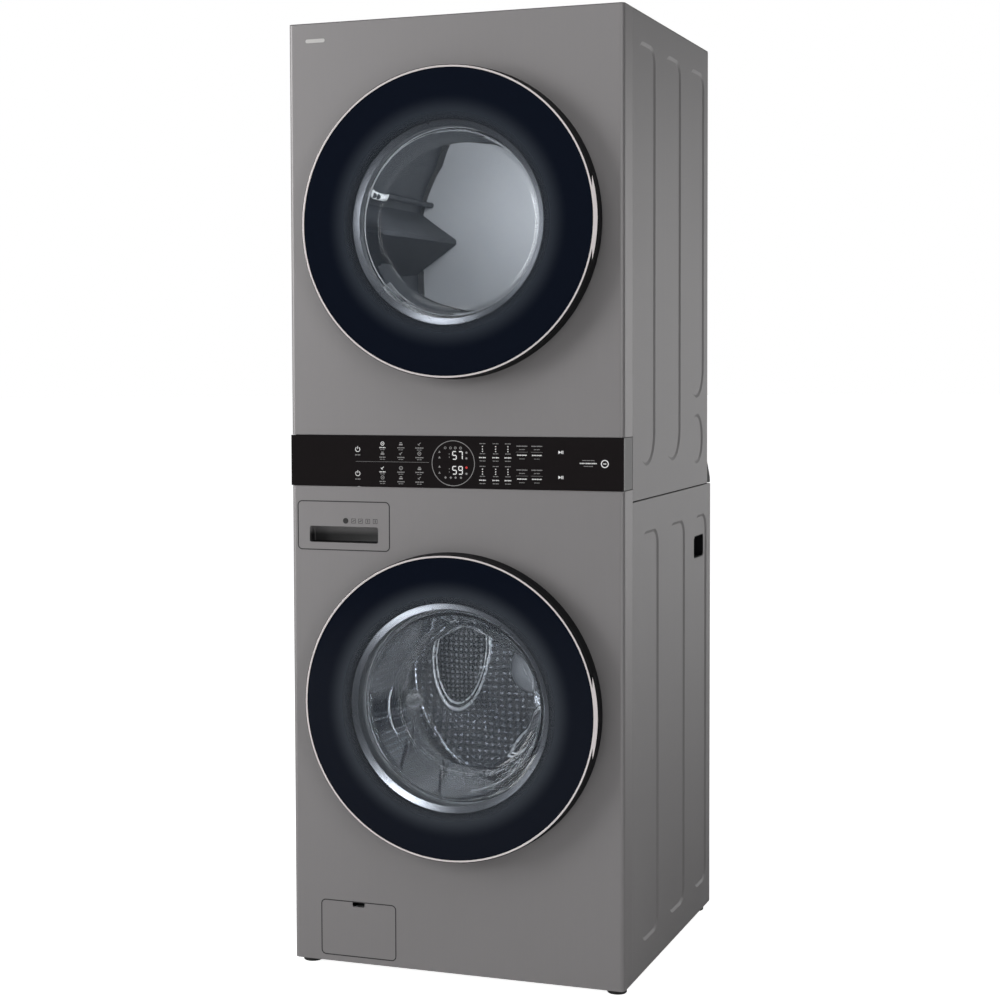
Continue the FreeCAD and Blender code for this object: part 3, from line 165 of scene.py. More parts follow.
def fine_grain():
    """Node group: streaks along Z and broad clouding, as a roughness, a tone and a height."""
    group = bpy.data.node_groups.new("fine_grain", "ShaderNodeTree")
    face = group.interface
    face.new_socket("Stretch", in_out="INPUT", socket_type="NodeSocketVector").default_value = (900, 900, 9)
    face.new_socket("Roughness", in_out="INPUT", socket_type="NodeSocketFloat").default_value = 0.4
    face.new_socket("Spread", in_out="INPUT", socket_type="NodeSocketFloat").default_value = 0.08
    face.new_socket("Dark", in_out="INPUT", socket_type="NodeSocketColor")
    face.new_socket("Light", in_out="INPUT", socket_type="NodeSocketColor")
    face.new_socket("Color", in_out="OUTPUT", socket_type="NodeSocketColor")
    face.new_socket("Roughness", in_out="OUTPUT", socket_type="NodeSocketFloat")
    face.new_socket("Height", in_out="OUTPUT", socket_type="NodeSocketFloat")
    nodes = group.nodes
    link = group.links.new
    given = nodes.new("NodeGroupInput")
    out = nodes.new("NodeGroupOutput")
    place = nodes.new("ShaderNodeTexCoord")
    scale = nodes.new("ShaderNodeVectorMath")
    scale.operation = "MULTIPLY"
    link(place.outputs["Object"], scale.inputs[0])
    link(given.outputs["Stretch"], scale.inputs[1])
    streak = nodes.new("ShaderNodeTexNoise")
    streak.inputs["Scale"].default_value = 1.0
    streak.inputs["Detail"].default_value = 3.0
    link(scale.outputs["Vector"], streak.inputs["Vector"])
    cloud = nodes.new("ShaderNodeTexNoise")
    cloud.inputs["Scale"].default_value = 2.2
    cloud.inputs["Detail"].default_value = 2.0
    link(place.outputs["Object"], cloud.inputs["Vector"])
    blend = nodes.new("ShaderNodeMath")
    blend.operation = "MULTIPLY_ADD"
    blend.inputs[1].default_value = 0.45
    link(streak.outputs["Fac"], blend.inputs[0])
    half = nodes.new("ShaderNodeMath")
    half.operation = "MULTIPLY"
    half.inputs[1].default_value = 0.55
    link(cloud.outputs["Fac"], half.inputs[0])
    link(half.outputs["Value"], blend.inputs[2])
    tone = nodes.new("ShaderNodeMix")
    tone.data_type = "RGBA"
    link(blend.outputs["Value"], tone.inputs["Factor"])
    link(given.outputs["Dark"], tone.inputs["A"])
    link(given.outputs["Light"], tone.inputs["B"])
    link(tone.outputs["Result"], out.inputs["Color"])
    swing = nodes.new("ShaderNodeMath")
    swing.operation = "MULTIPLY_ADD"
    link(blend.outputs["Value"], swing.inputs[0])
    link(given.outputs["Spread"], swing.inputs[1])
    link(given.outputs["Roughness"], swing.inputs[2])
    link(swing.outputs["Value"], out.inputs["Roughness"])
    link(streak.outputs["Fac"], out.inputs["Height"])
    return group


grain = fine_grain()
lone_edge = 3.2  # angle given to an edge with one face, so that it stays sharp


def grained(name, dark, light, roughness, spread=0.08, metallic=0.0, stretch=(900, 900, 9), bump=0.02, **sockets):
    """Material whose tone, roughness and height come from the fine grain group."""
    material = bpy.data.materials.new(name)
    material.use_nodes = True
    nodes = material.node_tree.nodes
    link = material.node_tree.links.new
    shader = nodes["Principled BSDF"]
    shader.inputs["Metallic"].default_value = metallic
    for socket, value in sockets.items():
        shader.inputs[socket.replace("_", " ")].default_value = value
    effect = nodes.new("ShaderNodeGroup")
    effect.node_tree = grain
    effect.inputs["Stretch"].default_value = stretch
    effect.inputs["Roughness"].default_value = roughness
    effect.inputs["Spread"].default_value = spread
    effect.inputs["Dark"].default_value = (*dark, 1)
    effect.inputs["Light"].default_value = (*light, 1)
    relief = nodes.new("ShaderNodeBump")
    relief.inputs["Strength"].default_value = bump
    relief.inputs["Distance"].default_value = 0.0002
    link(effect.outputs["Height"], relief.inputs["Height"])
    link(effect.outputs["Color"], shader.inputs["Base Color"])
    link(effect.outputs["Roughness"], shader.inputs["Roughness"])
    link(relief.outputs["Normal"], shader.inputs["Normal"])
    return material


graphite = grained("graphite_steel", (0.232, 0.224, 0.226), (0.262, 0.252, 0.255), 0.45, metallic=0.45)


def refined(node, material, edge=0.0008, body="cabinet", angle=28):
    """Merged copy of a CAD node with small rounded edges, in place of the node."""
    source = frame["nodes"][node]
    mesh = bmesh.new()
    mesh.from_mesh(source.data)
    bmesh.ops.remove_doubles(mesh, verts=mesh.verts, dist=0.00001)
    bmesh.ops.dissolve_limit(mesh, angle_limit=math.radians(0.6), verts=mesh.verts, edges=mesh.edges)
    for line in mesh.edges:
        line.smooth = line.calc_face_angle(lone_edge) < math.radians(angle)
    data = bpy.data.meshes.new(node + "_finished")
    mesh.to_mesh(data)
    mesh.free()
    data.materials.append(material)
    piece = bpy.data.objects.new(node + "_finished", data)
    scene.collection.objects.link(piece)
    data.shade_smooth()
    if edge:
        bevel = piece.modifiers.new("edges", "BEVEL")
        bevel.width = edge
        bevel.segments = 2
        bevel.limit_method = "ANGLE"
        bevel.angle_limit = math.radians(angle)
    shading = piece.modifiers.new("shading", "WEIGHTED_NORMAL")
    shading.keep_sharp = True
    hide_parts(node)
    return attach(piece, body)


for panel in ("washer_front_panel", "dryer_front_panel", "top_panel"):
    refined(panel, graphite, 0.0004)
side_paint = grained("side_paint", (0.23, 0.223, 0.225), (0.262, 0.253, 0.256), 0.5, metallic=0.3)
for panel in ("washer_side_left", "washer_side_right", "dryer_side_left", "dryer_side_right"):
    refined(panel, side_paint, 0.0012, angle=14)

# Plain silver mark at the dryer's upper left corner: a thin stamped foil, glued on.
silver_foil = grained("silver_foil", (0.62, 0.61, 0.6), (0.72, 0.71, 0.7), 0.3, metallic=0.6)


def finish_mesh(name, mesh, material, body, smooth=True, angle=30):
    """New piece from a bmesh: smooth except at edges sharper than the angle, riding on a body."""
    bmesh.ops.recalc_face_normals(mesh, faces=mesh.faces)
    for edge in mesh.edges:
        edge.smooth = edge.calc_face_angle(lone_edge) < math.radians(angle)
    data = bpy.data.meshes.new(name)
    mesh.to_mesh(data)
    mesh.free()
    if smooth:
        data.shade_smooth()
    data.materials.append(material)
    piece = bpy.data.objects.new(name, data)
    scene.collection.objects.link(piece)
    shading = piece.modifiers.new("shading", "WEIGHTED_NORMAL")
    shading.keep_sharp = True
    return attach(piece, body)


def plate(mesh, x, z, width, height, turn=0.0):
    """Flat rectangle in a drawing plane, centred at x, z."""
    sized = Matrix.Diagonal((width / 2, height / 2, 1, 1))
    place = Matrix.Translation((x, z, 0)) @ Matrix.Rotation(turn, 4, "Z") @ sized
    bmesh.ops.create_grid(mesh, x_segments=1, y_segments=1, size=1.0, matrix=place)


def spot(mesh, x, z, radius, segments=14):
    bmesh.ops.create_circle(mesh, cap_ends=True, segments=segments, radius=radius,
                            matrix=Matrix.Translation((x, z, 0)))


def hoop(mesh, x, z, radius, width, first=0.0, last=360.0, steps=32):
    """Flat ring or arc in the drawing plane, spun from a short radial edge."""
    a = mesh.verts.new((x + (radius - width / 2), z, 0))
    b = mesh.verts.new((x + (radius + width / 2), z, 0))
    line = mesh.edges.new((a, b))
    about = (x, z, 0)
    bmesh.ops.rotate(mesh, verts=[a, b], cent=about, matrix=Matrix.Rotation(math.radians(first), 3, "Z"))
    bmesh.ops.spin(mesh, geom=[a, b, line], cent=about, axis=(0, 0, 1), angle=math.radians(last - first), steps=steps,
                   use_merge=last - first >= 360)


def stand_up(mesh, y):
    """The drawing plane becomes a thin layer on an upright face at y, facing forwards."""
    bmesh.ops.recalc_face_normals(mesh, faces=mesh.faces)
    flipped = [face for face in mesh.faces if face.normal.z < 0]
    bmesh.ops.reverse_faces(mesh, faces=flipped)
    raised = Matrix.Translation((0, y, 0)) @ Matrix.Rotation(math.pi / 2, 4, "X")
    bmesh.ops.transform(mesh, verts=mesh.verts, matrix=raised)
    layer = bmesh.ops.extrude_face_region(mesh, geom=mesh.faces[:])
    lifted = [item for item in layer["geom"] if isinstance(item, bmesh.types.BMVert)]
    bmesh.ops.translate(mesh, verts=lifted, vec=(0, -0.00012, 0))


mark_x = -0.287
mark_z = 1.855
mark_reach = 0.017
mark_end = 0.00375
mark = bmesh.new()
outline = []
for number in range(24):
    angle = math.radians(15 * number + 7.5)
    across = mark_x + math.copysign(mark_reach, math.cos(angle)) + mark_end * math.cos(angle)
    outline.append(mark.verts.new((across, mark_z + mark_end * math.sin(angle), 0)))
mark.faces.new(outline)
stand_up(mark, front_y - 0.0001)
finish_mesh("corner_mark", mark, silver_foil, "cabinet")

# Doors: a flat smoked glass disc in a polished rim, a black moulded frame behind it, a dark
# metal flange round the window, and a clear pressed bowl that pushes the laundry back, ribbed
# at the washer's lower left. The rim swells into a grip at the right.


def radial_fade():
    """Node group: distance from a door's axis, as the printed border's cover and its colour, from a painted glow at
    the window to the dark print.
    """
    group = bpy.data.node_groups.new("radial_fade", "ShaderNodeTree")
    face = group.interface
    face.new_socket("Centre", in_out="INPUT", socket_type="NodeSocketVector")
    face.new_socket("Window", in_out="INPUT", socket_type="NodeSocketFloat").default_value = 0.19
    face.new_socket("Border", in_out="INPUT", socket_type="NodeSocketFloat").default_value = 0.25
    face.new_socket("Cover", in_out="INPUT", socket_type="NodeSocketFloat").default_value = 0.3
    face.new_socket("Glow", in_out="INPUT", socket_type="NodeSocketColor")
    face.new_socket("Dark", in_out="INPUT", socket_type="NodeSocketColor")
    face.new_socket("Color", in_out="OUTPUT", socket_type="NodeSocketColor")
    face.new_socket("Alpha", in_out="OUTPUT", socket_type="NodeSocketFloat")
    nodes = group.nodes
    link = group.links.new
    given = nodes.new("NodeGroupInput")
    out = nodes.new("NodeGroupOutput")
    place = nodes.new("ShaderNodeTexCoord")
    offset = nodes.new("ShaderNodeVectorMath")
    offset.operation = "SUBTRACT"
    link(place.outputs["Object"], offset.inputs[0])
    link(given.outputs["Centre"], offset.inputs[1])
    flat = nodes.new("ShaderNodeVectorMath")
    flat.operation = "MULTIPLY"
    flat.inputs[1].default_value = (1, 0, 1)
    link(offset.outputs["Vector"], flat.inputs[0])
    radius = nodes.new("ShaderNodeVectorMath")
    radius.operation = "LENGTH"
    link(flat.outputs["Vector"], radius.inputs[0])
    ramp = nodes.new("ShaderNodeMapRange")
    ramp.interpolation_type = "SMOOTHSTEP"
    link(radius.outputs["Value"], ramp.inputs["Value"])
    link(given.outputs["Window"], ramp.inputs["From Min"])
    link(given.outputs["Border"], ramp.inputs["From Max"])
    tint = nodes.new("ShaderNodeMix")
    tint.data_type = "RGBA"
    link(ramp.outputs["Result"], tint.inputs["Factor"])
    link(given.outputs["Glow"], tint.inputs["A"])
    link(given.outputs["Dark"], tint.inputs["B"])
    link(tint.outputs["Result"], out.inputs["Color"])
    edge = nodes.new("ShaderNodeMath")
    edge.operation = "ADD"
    edge.inputs[1].default_value = 0.024
    link(given.outputs["Window"], edge.inputs[0])
    cover = nodes.new("ShaderNodeMapRange")
    cover.interpolation_type = "SMOOTHSTEP"
    cover.inputs["To Max"].default_value = 1.0
    link(radius.outputs["Value"], cover.inputs["Value"])
    link(given.outputs["Window"], cover.inputs["From Min"])
    link(edge.outputs["Value"], cover.inputs["From Max"])
    link(given.outputs["Cover"], cover.inputs["To Min"])
    link(cover.outputs["Result"], out.inputs["Alpha"])
    return group


fade = radial_fade()


def pane_glass(name, centre, window, border, cover, glow):
    """Smoked flat glass: navy black print at the rim that lightens into a painted glow, which veils the clear window.
    """
    material = bpy.data.materials.new(name)
    material.use_nodes = True
    nodes = material.node_tree.nodes
    link = material.node_tree.links.new
    shader = nodes["Principled BSDF"]
    shader.inputs["Roughness"].default_value = 0.03
    shader.inputs["Specular IOR Level"].default_value = 0.1
    effect = nodes.new("ShaderNodeGroup")
    effect.node_tree = fade
    effect.inputs["Centre"].default_value = centre
    effect.inputs["Window"].default_value = window
    effect.inputs["Border"].default_value = border
    effect.inputs["Cover"].default_value = cover
    effect.inputs["Glow"].default_value = (*glow, 1)
    effect.inputs["Dark"].default_value = (0.0035, 0.0055, 0.0115, 1)
    link(effect.outputs["Color"], shader.inputs["Base Color"])
    path = nodes.new("ShaderNodeLightPath")
    lit = nodes.new("ShaderNodeMath")
    lit.operation = "MULTIPLY_ADD"
    lit.use_clamp = True
    lit.inputs[1].default_value = -0.35
    link(path.outputs["Is Shadow Ray"], lit.inputs[0])
    link(effect.outputs["Alpha"], lit.inputs[2])
    link(lit.outputs["Value"], shader.inputs["Alpha"])
    return material


def clear_glass(name):
    """Pressed clear glass; light from the studio passes through it to the drum."""
    material = bpy.data.materials.new(name)
    material.use_nodes = True
    nodes = material.node_tree.nodes
    link = material.node_tree.links.new
    shader = nodes["Principled BSDF"]
    shader.inputs["Base Color"].default_value = (0.86, 0.91, 0.95, 1)
    shader.inputs["Roughness"].default_value = 0.0
    shader.inputs["IOR"].default_value = 1.5
    shader.inputs["Transmission Weight"].default_value = 1.0
    wave = nodes.new("ShaderNodeTexNoise")
    wave.inputs["Scale"].default_value = 14.0
    place = nodes.new("ShaderNodeTexCoord")
    link(place.outputs["Object"], wave.inputs["Vector"])
    relief = nodes.new("ShaderNodeBump")
    relief.inputs["Strength"].default_value = 0.25
    relief.inputs["Distance"].default_value = 0.0015
    link(wave.outputs["Fac"], relief.inputs["Height"])
    link(relief.outputs["Normal"], shader.inputs["Normal"])
    path = nodes.new("ShaderNodeLightPath")
    lit = nodes.new("ShaderNodeMath")
    lit.operation = "MULTIPLY_ADD"
    lit.inputs[1].default_value = -0.9
    lit.inputs[2].default_value = 1.0
    link(path.outputs["Is Shadow Ray"], lit.inputs[0])
    link(lit.outputs["Value"], shader.inputs["Alpha"])
    return material


def turned(name, profile, centre_z, material, body, steps=144, angle=30, closed=True):
    """Round piece spun about a door's or drum's axis from a profile of (radius, y)."""
    mesh = bmesh.new()
    points = [mesh.verts.new((radius, y, centre_z)) for radius, y in profile]
    pairs = list(zip(points, points[1:]))
    if closed:
        pairs.append((points[-1], points[0]))
    lines = [mesh.edges.new(pair) for pair in pairs if not (pair[0].co.x == 0 and pair[1].co.x == 0)]
    bmesh.ops.spin(mesh, geom=points + lines, cent=(0, 0, centre_z), axis=(0, 1, 0), angle=2 * math.pi, steps=steps,
                   use_merge=True)
    bmesh.ops.remove_doubles(mesh, verts=mesh.verts, dist=0.000001)
    return finish_mesh(name, mesh, material, body, angle=angle)


rim_silver = grained("rim_silver", (0.80, 0.745, 0.74), (0.88, 0.82, 0.815), 0.32, 0.06, metallic=0.55,
                     stretch=(300, 300, 300), bump=0.0)
door_black = grained("door_black", (0.004, 0.004, 0.005), (0.006, 0.006, 0.007), 0.5, 0.1, stretch=(260, 260, 260),
                     bump=0.15, Specular_IOR_Level=0.12)
smoke_chrome = grained("smoke_chrome", (0.075, 0.082, 0.094), (0.095, 0.103, 0.116), 0.25, 0.06, metallic=1.0,
                       stretch=(40, 40, 40), bump=0.02)
bowl_glass = clear_glass("bowl_glass")
rib_glass = grained("rib_glass", (0.5, 0.53, 0.57), (0.62, 0.65, 0.69), 0.2, 0.1, metallic=0.8, stretch=(60, 60, 60))
door_z = {}
# The glow colour is painted light: a soft pale halo round each window and a haze over it.
for machine, window_r, cover, glow in (("washer", 0.206, 0.2, (0.05, 0.058, 0.07)),
                                       ("dryer", 0.197, 0.24, (0.036, 0.043, 0.054))):
    body = machine + "_door"
    low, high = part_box(body + "_glass")
    z = (low.z + high.z) / 2
    door_z[machine] = z
    ring = refined(body + "_ring", rim_silver, 0.0002, body)
    ring.data.materials.append(door_black)
    for polygon in ring.data.polygons:
        polygon.material_index = 0 if polygon.normal.y < -0.85 else 1
    refined(body + "_frame", door_black, 0.0006, body)
    bead_y = low.y + 0.0125
    slope = [(window_r - 0.012, bead_y + 0.0045), (window_r - 0.0035, bead_y + 0.0015),
             (window_r + 0.004, bead_y - 0.0018), (window_r + 0.011, bead_y - 0.0055)]
    flange = slope + [(radius, y + 0.001) for radius, y in slope[::-1]]
    glass_trims.objects.link(turned(body + "_window_flange", flange, z, smoke_chrome, body, angle=50))
    smoked = pane_glass(machine + "_smoked_glass", (0, 0, z), window_r - 0.004, window_r + 0.05, cover, glow)
    edge = high.x
    pane = turned(body + "_pane", [(0, low.y), (edge - 0.006, low.y), (edge - 0.0012, low.y),
                                   (edge - 0.0004, low.y + 0.0004), (edge, low.y + 0.0012), (edge, high.y),
                                   (0, high.y)], z, smoked, body)
    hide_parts(body + "_glass")
    bowl_low, bowl_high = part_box(body + "_bowl")
    seat = bowl_low.y
    tip = bowl_high.y
    rim_r = bowl_high.x
    wall = 0.005
    if machine == "washer":
        outline = [(rim_r, seat), (rim_r, seat + 0.0075), (0.200, seat + 0.0085), (0.196, seat + 0.0095),
                   (0.187, seat + 0.0095), (0.184, seat + 0.013), (0.182, seat + 0.0195), (0.176, seat + 0.040),
                   (0.168, seat + 0.066), (0.160, seat + 0.088), (0.156, seat + 0.095), (0.148, seat + 0.1),
                   (0.138, seat + 0.1025), (0.11, seat + 0.104), (0.06, tip - 0.0003), (0, tip)]
    else:
        outline = [(rim_r, seat), (rim_r, seat + 0.0075), (0.194, seat + 0.0085), (0.187, seat + 0.0095),
                   (0.184, seat + 0.013), (0.182, seat + 0.0195), (0.178, seat + 0.032), (0.173, seat + 0.040),
                   (0.166, seat + 0.046), (0.156, seat + 0.0495), (0.12, tip - 0.0004), (0, tip)]
    inside = [(radius - wall * 0.9, y - wall * 0.45) for radius, y in outline[3:-3]]
    inside += [(radius, y - wall) for radius, y in outline[-3:]]
    inside = [(0.2, seat)] + inside
    bowl = turned(body + "_bowl_glass", outline + inside[::-1], z, bowl_glass, body, steps=160,
                  angle=50)
    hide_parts(body + "_bowl")
    if machine == "washer":
        grips = bmesh.new()
        for number in range(40):
            grip = bmesh.ops.create_cube(grips, size=1.0)["verts"]
            bmesh.ops.scale(grips, verts=grip, vec=(0.0022, 0.016, 0.003))
            bmesh.ops.translate(grips, verts=grip, vec=(0, seat + 0.030, z - 0.1715))
            bmesh.ops.rotate(grips, verts=grip, cent=(0, 0, z),
                             matrix=Matrix.Rotation(math.radians(-10 - 1.5 * number), 3, "Y"))
        bmesh.ops.bevel(grips, geom=grips.edges[:], offset=0.0007, segments=1, profile=0.5, affect="EDGES",
                        material=-1)
        glass_trims.objects.link(finish_mesh("washer_bowl_ribs", grips, rib_glass, body, angle=60))

# Washer drum: rolled stainless, painted dark as shade and punched all round, its holes pale as painted
# glints, with slanting beads in its wall, three leaf-shaped pressings and a grey hub cap on its dished back,
# three punched lifters and a ribbed balance ring. The rubber gasket seals its mouth to the front panel.


def punched():
    """Node group: rows of small holes on a drum's wall and back, as a mask."""
    group = bpy.data.node_groups.new("punched", "ShaderNodeTree")
    face = group.interface
    face.new_socket("Centre", in_out="INPUT", socket_type="NodeSocketVector")
    face.new_socket("Back", in_out="INPUT", socket_type="NodeSocketFloat").default_value = 0.12
    face.new_socket("Radius", in_out="INPUT", socket_type="NodeSocketFloat").default_value = 0.27
    face.new_socket("Pitch", in_out="INPUT", socket_type="NodeSocketFloat").default_value = 0.012
    face.new_socket("Mask", in_out="OUTPUT", socket_type="NodeSocketFloat")
    nodes = group.nodes
    link = group.links.new
    given = nodes.new("NodeGroupInput")
    out = nodes.new("NodeGroupOutput")
    place = nodes.new("ShaderNodeTexCoord")
    offset = nodes.new("ShaderNodeVectorMath")
    offset.operation = "SUBTRACT"
    link(place.outputs["Object"], offset.inputs[0])
    link(given.outputs["Centre"], offset.inputs[1])
    parts = nodes.new("ShaderNodeSeparateXYZ")
    link(offset.outputs["Vector"], parts.inputs[0])
    turn_angle = nodes.new("ShaderNodeMath")
    turn_angle.operation = "ARCTAN2"
    link(parts.outputs["X"], turn_angle.inputs[0])
    link(parts.outputs["Z"], turn_angle.inputs[1])
    around = nodes.new("ShaderNodeMath")
    around.operation = "MULTIPLY"
    link(turn_angle.outputs["Value"], around.inputs[0])
    link(given.outputs["Radius"], around.inputs[1])
    wall_place = nodes.new("ShaderNodeCombineXYZ")
    link(around.outputs["Value"], wall_place.inputs["X"])
    link(parts.outputs["Y"], wall_place.inputs["Y"])
    back_place = nodes.new("ShaderNodeCombineXYZ")
    link(parts.outputs["X"], back_place.inputs["X"])
    link(parts.outputs["Z"], back_place.inputs["Y"])
    rear = nodes.new("ShaderNodeMath")
    rear.operation = "GREATER_THAN"
    link(parts.outputs["Y"], rear.inputs[0])
    link(given.outputs["Back"], rear.inputs[1])
    choose = nodes.new("ShaderNodeMix")
    choose.data_type = "VECTOR"
    link(rear.outputs["Value"], choose.inputs["Factor"])
    link(wall_place.outputs["Vector"], choose.inputs["A"])
    link(back_place.outputs["Vector"], choose.inputs["B"])
    step = nodes.new("ShaderNodeVectorMath")
    step.operation = "SCALE"
    inverse = nodes.new("ShaderNodeMath")
    inverse.operation = "DIVIDE"
    inverse.inputs[0].default_value = 1.0
    link(given.outputs["Pitch"], inverse.inputs[1])
    link(choose.outputs["Result"], step.inputs[0])
    link(inverse.outputs["Value"], step.inputs["Scale"])
    cells = nodes.new("ShaderNodeTexVoronoi")
    cells.voronoi_dimensions = "2D"
    cells.inputs["Scale"].default_value = 1.0
    cells.inputs["Randomness"].default_value = 0.0
    link(step.outputs["Vector"], cells.inputs["Vector"])
    hole = nodes.new("ShaderNodeMapRange")
    hole.interpolation_type = "SMOOTHSTEP"
    hole.inputs["From Min"].default_value = 0.30
    hole.inputs["From Max"].default_value = 0.20
    link(cells.outputs["Distance"], hole.inputs["Value"])
    link(hole.outputs["Result"], out.inputs["Mask"])
    return group


holes = punched()


def drum_steel(name, centre, back, radius, pitch, colour, roughness, depth=0.75, hole=(0.01, 0.01, 0.012),
               metallic=1.0):
    """Polished stainless with a faint rolling grain and punched holes."""
    material = grained(name, tuple(0.85 * c for c in colour), colour, roughness, 0.1, metallic=metallic,
                       stretch=(60, 700, 60), bump=0.03)
    nodes = material.node_tree.nodes
    link = material.node_tree.links.new
    shader = nodes["Principled BSDF"]
    effect = next(node for node in nodes if node.type == "GROUP")
    pattern = nodes.new("ShaderNodeGroup")
    pattern.node_tree = holes
    pattern.inputs["Centre"].default_value = centre
    pattern.inputs["Back"].default_value = back
    pattern.inputs["Radius"].default_value = radius
    pattern.inputs["Pitch"].default_value = pitch
    dark = nodes.new("ShaderNodeMix")
    dark.data_type = "RGBA"
    dark.inputs["B"].default_value = (*hole, 1)
    share = nodes.new("ShaderNodeMath")
    share.operation = "MULTIPLY"
    share.inputs[1].default_value = depth
    link(pattern.outputs["Mask"], share.inputs[0])
    link(share.outputs["Value"], dark.inputs["Factor"])
    link(effect.outputs["Color"], dark.inputs["A"])
    link(dark.outputs["Result"], shader.inputs["Base Color"])
    relief = next(node for node in nodes if node.type == "BUMP")
    relief.inputs["Strength"].default_value = 0.6
    relief.inputs["Distance"].default_value = 0.0006
    relief.invert = True
    link(pattern.outputs["Mask"], relief.inputs["Height"])
    return material


drum_low, drum_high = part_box("washer_drum")
washer_z = door_z["washer"]
# Steel far darker than real stainless: painted shade. The pale hole colour paints a small glint at each punched hole.
washer_shaded_steel = drum_steel("washer_drum_shaded_steel", (0, 0, washer_z), drum_high.y - 0.02, 0.27, 0.0135,
                          (0.10, 0.107, 0.118), 0.12, depth=0.8, hole=(0.6, 0.63, 0.68), metallic=0.85)
outer_r = drum_high.x
front = drum_low.y
rear = drum_high.y
sheet = 0.0012
outside = [(0.203, front), (outer_r - 0.030, front), (outer_r - 0.017, front + 0.0035),
           (outer_r - 0.0075, front + 0.010), (outer_r - 0.0018, front + 0.020), (outer_r, front + 0.032),
           (outer_r, rear - 0.03), (outer_r - 0.0025, rear - 0.018), (outer_r - 0.009, rear - 0.009),
           (outer_r - 0.018, rear - 0.0025), (outer_r - 0.030, rear), (0.15, rear), (0.145, rear - 0.004),
           (0.06, rear - 0.008), (0, rear - 0.008)]
inside = [(0.203, front + sheet), (outer_r - 0.030, front + sheet), (outer_r - 0.0175, front + 0.0045),
          (outer_r - 0.0085, front + 0.011), (outer_r - 0.003, front + 0.0205), (outer_r - sheet, front + 0.032),
          (outer_r - sheet, rear - 0.03), (outer_r - 0.0037, rear - 0.0185), (outer_r - 0.0098, rear - 0.010),
          (outer_r - 0.0184, rear - 0.0037), (outer_r - 0.030, rear - sheet), (0.1505, rear - sheet),
          (0.1455, rear - 0.0052), (0.06, rear - 0.0092), (0, rear - 0.0092)]
drum = turned("washer_drum_shell", outside + inside[::-1], washer_z, washer_shaded_steel, "washer_drum",
              steps=160, angle=40)
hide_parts("washer_drum")
drum_pieces.objects.link(drum)

lifter_low, lifter_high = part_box("washer_lifters")
lifters = bmesh.new()
length = lifter_high.y - lifter_low.y
middle = (lifter_high.y + lifter_low.y) / 2
for number in range(3):
    made = bmesh.ops.create_uvsphere(lifters, u_segments=48, v_segments=24, radius=1.0)["verts"]
    bmesh.ops.rotate(lifters, verts=made, cent=(0, 0, 0), matrix=Matrix.Rotation(math.pi / 2, 3, "X"))
    bmesh.ops.scale(lifters, verts=made, vec=(0.040, length / 2, 0.060))
    bmesh.ops.translate(lifters, verts=made, vec=(0, middle, washer_z - outer_r + 0.0035))
    bmesh.ops.rotate(lifters, verts=made, cent=(0, 0, washer_z),
                     matrix=Matrix.Rotation(math.radians(120 * (number + 0.62)), 3, "Y"))
wall_r = outer_r - 0.0014
for vert in lifters.verts:
    if math.hypot(vert.co.x, vert.co.z - washer_z) > wall_r:
        radial = Vector((vert.co.x, 0, vert.co.z - washer_z))
        vert.co = Vector((0, vert.co.y, washer_z)) + radial.normalized() * wall_r
lifter_piece = finish_mesh("washer_lifter_shells", lifters, washer_shaded_steel, "washer_drum", angle=80)
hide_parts("washer_lifters")
drum_pieces.objects.link(lifter_piece)

beads = bmesh.new()
for number in range(15):
    rows = []
    for step in range(25):
        share = step / 24
        y = front + 0.045 + (rear - front - 0.085) * share
        height = 0.0035 * math.sin(math.pi * min(max(share, 0.02), 0.98)) ** 0.4
        row = []
        for across in range(-3, 4):
            angle = math.radians(24 * number + 34 * share + 0.75 * across)
            radius = outer_r - sheet - height * math.cos(across / 3 * math.pi / 2)
            row.append(beads.verts.new((radius * math.sin(angle), y, washer_z + radius * math.cos(angle))))
        rows.append(row)
    for near, far in zip(rows, rows[1:]):
        for a, b, c, d in zip(near, near[1:], far[1:], far):
            beads.faces.new((a, b, c, d))
bead_piece = finish_mesh("washer_wall_beads", beads, washer_shaded_steel, "washer_drum", angle=80)
drum_pieces.objects.link(bead_piece)

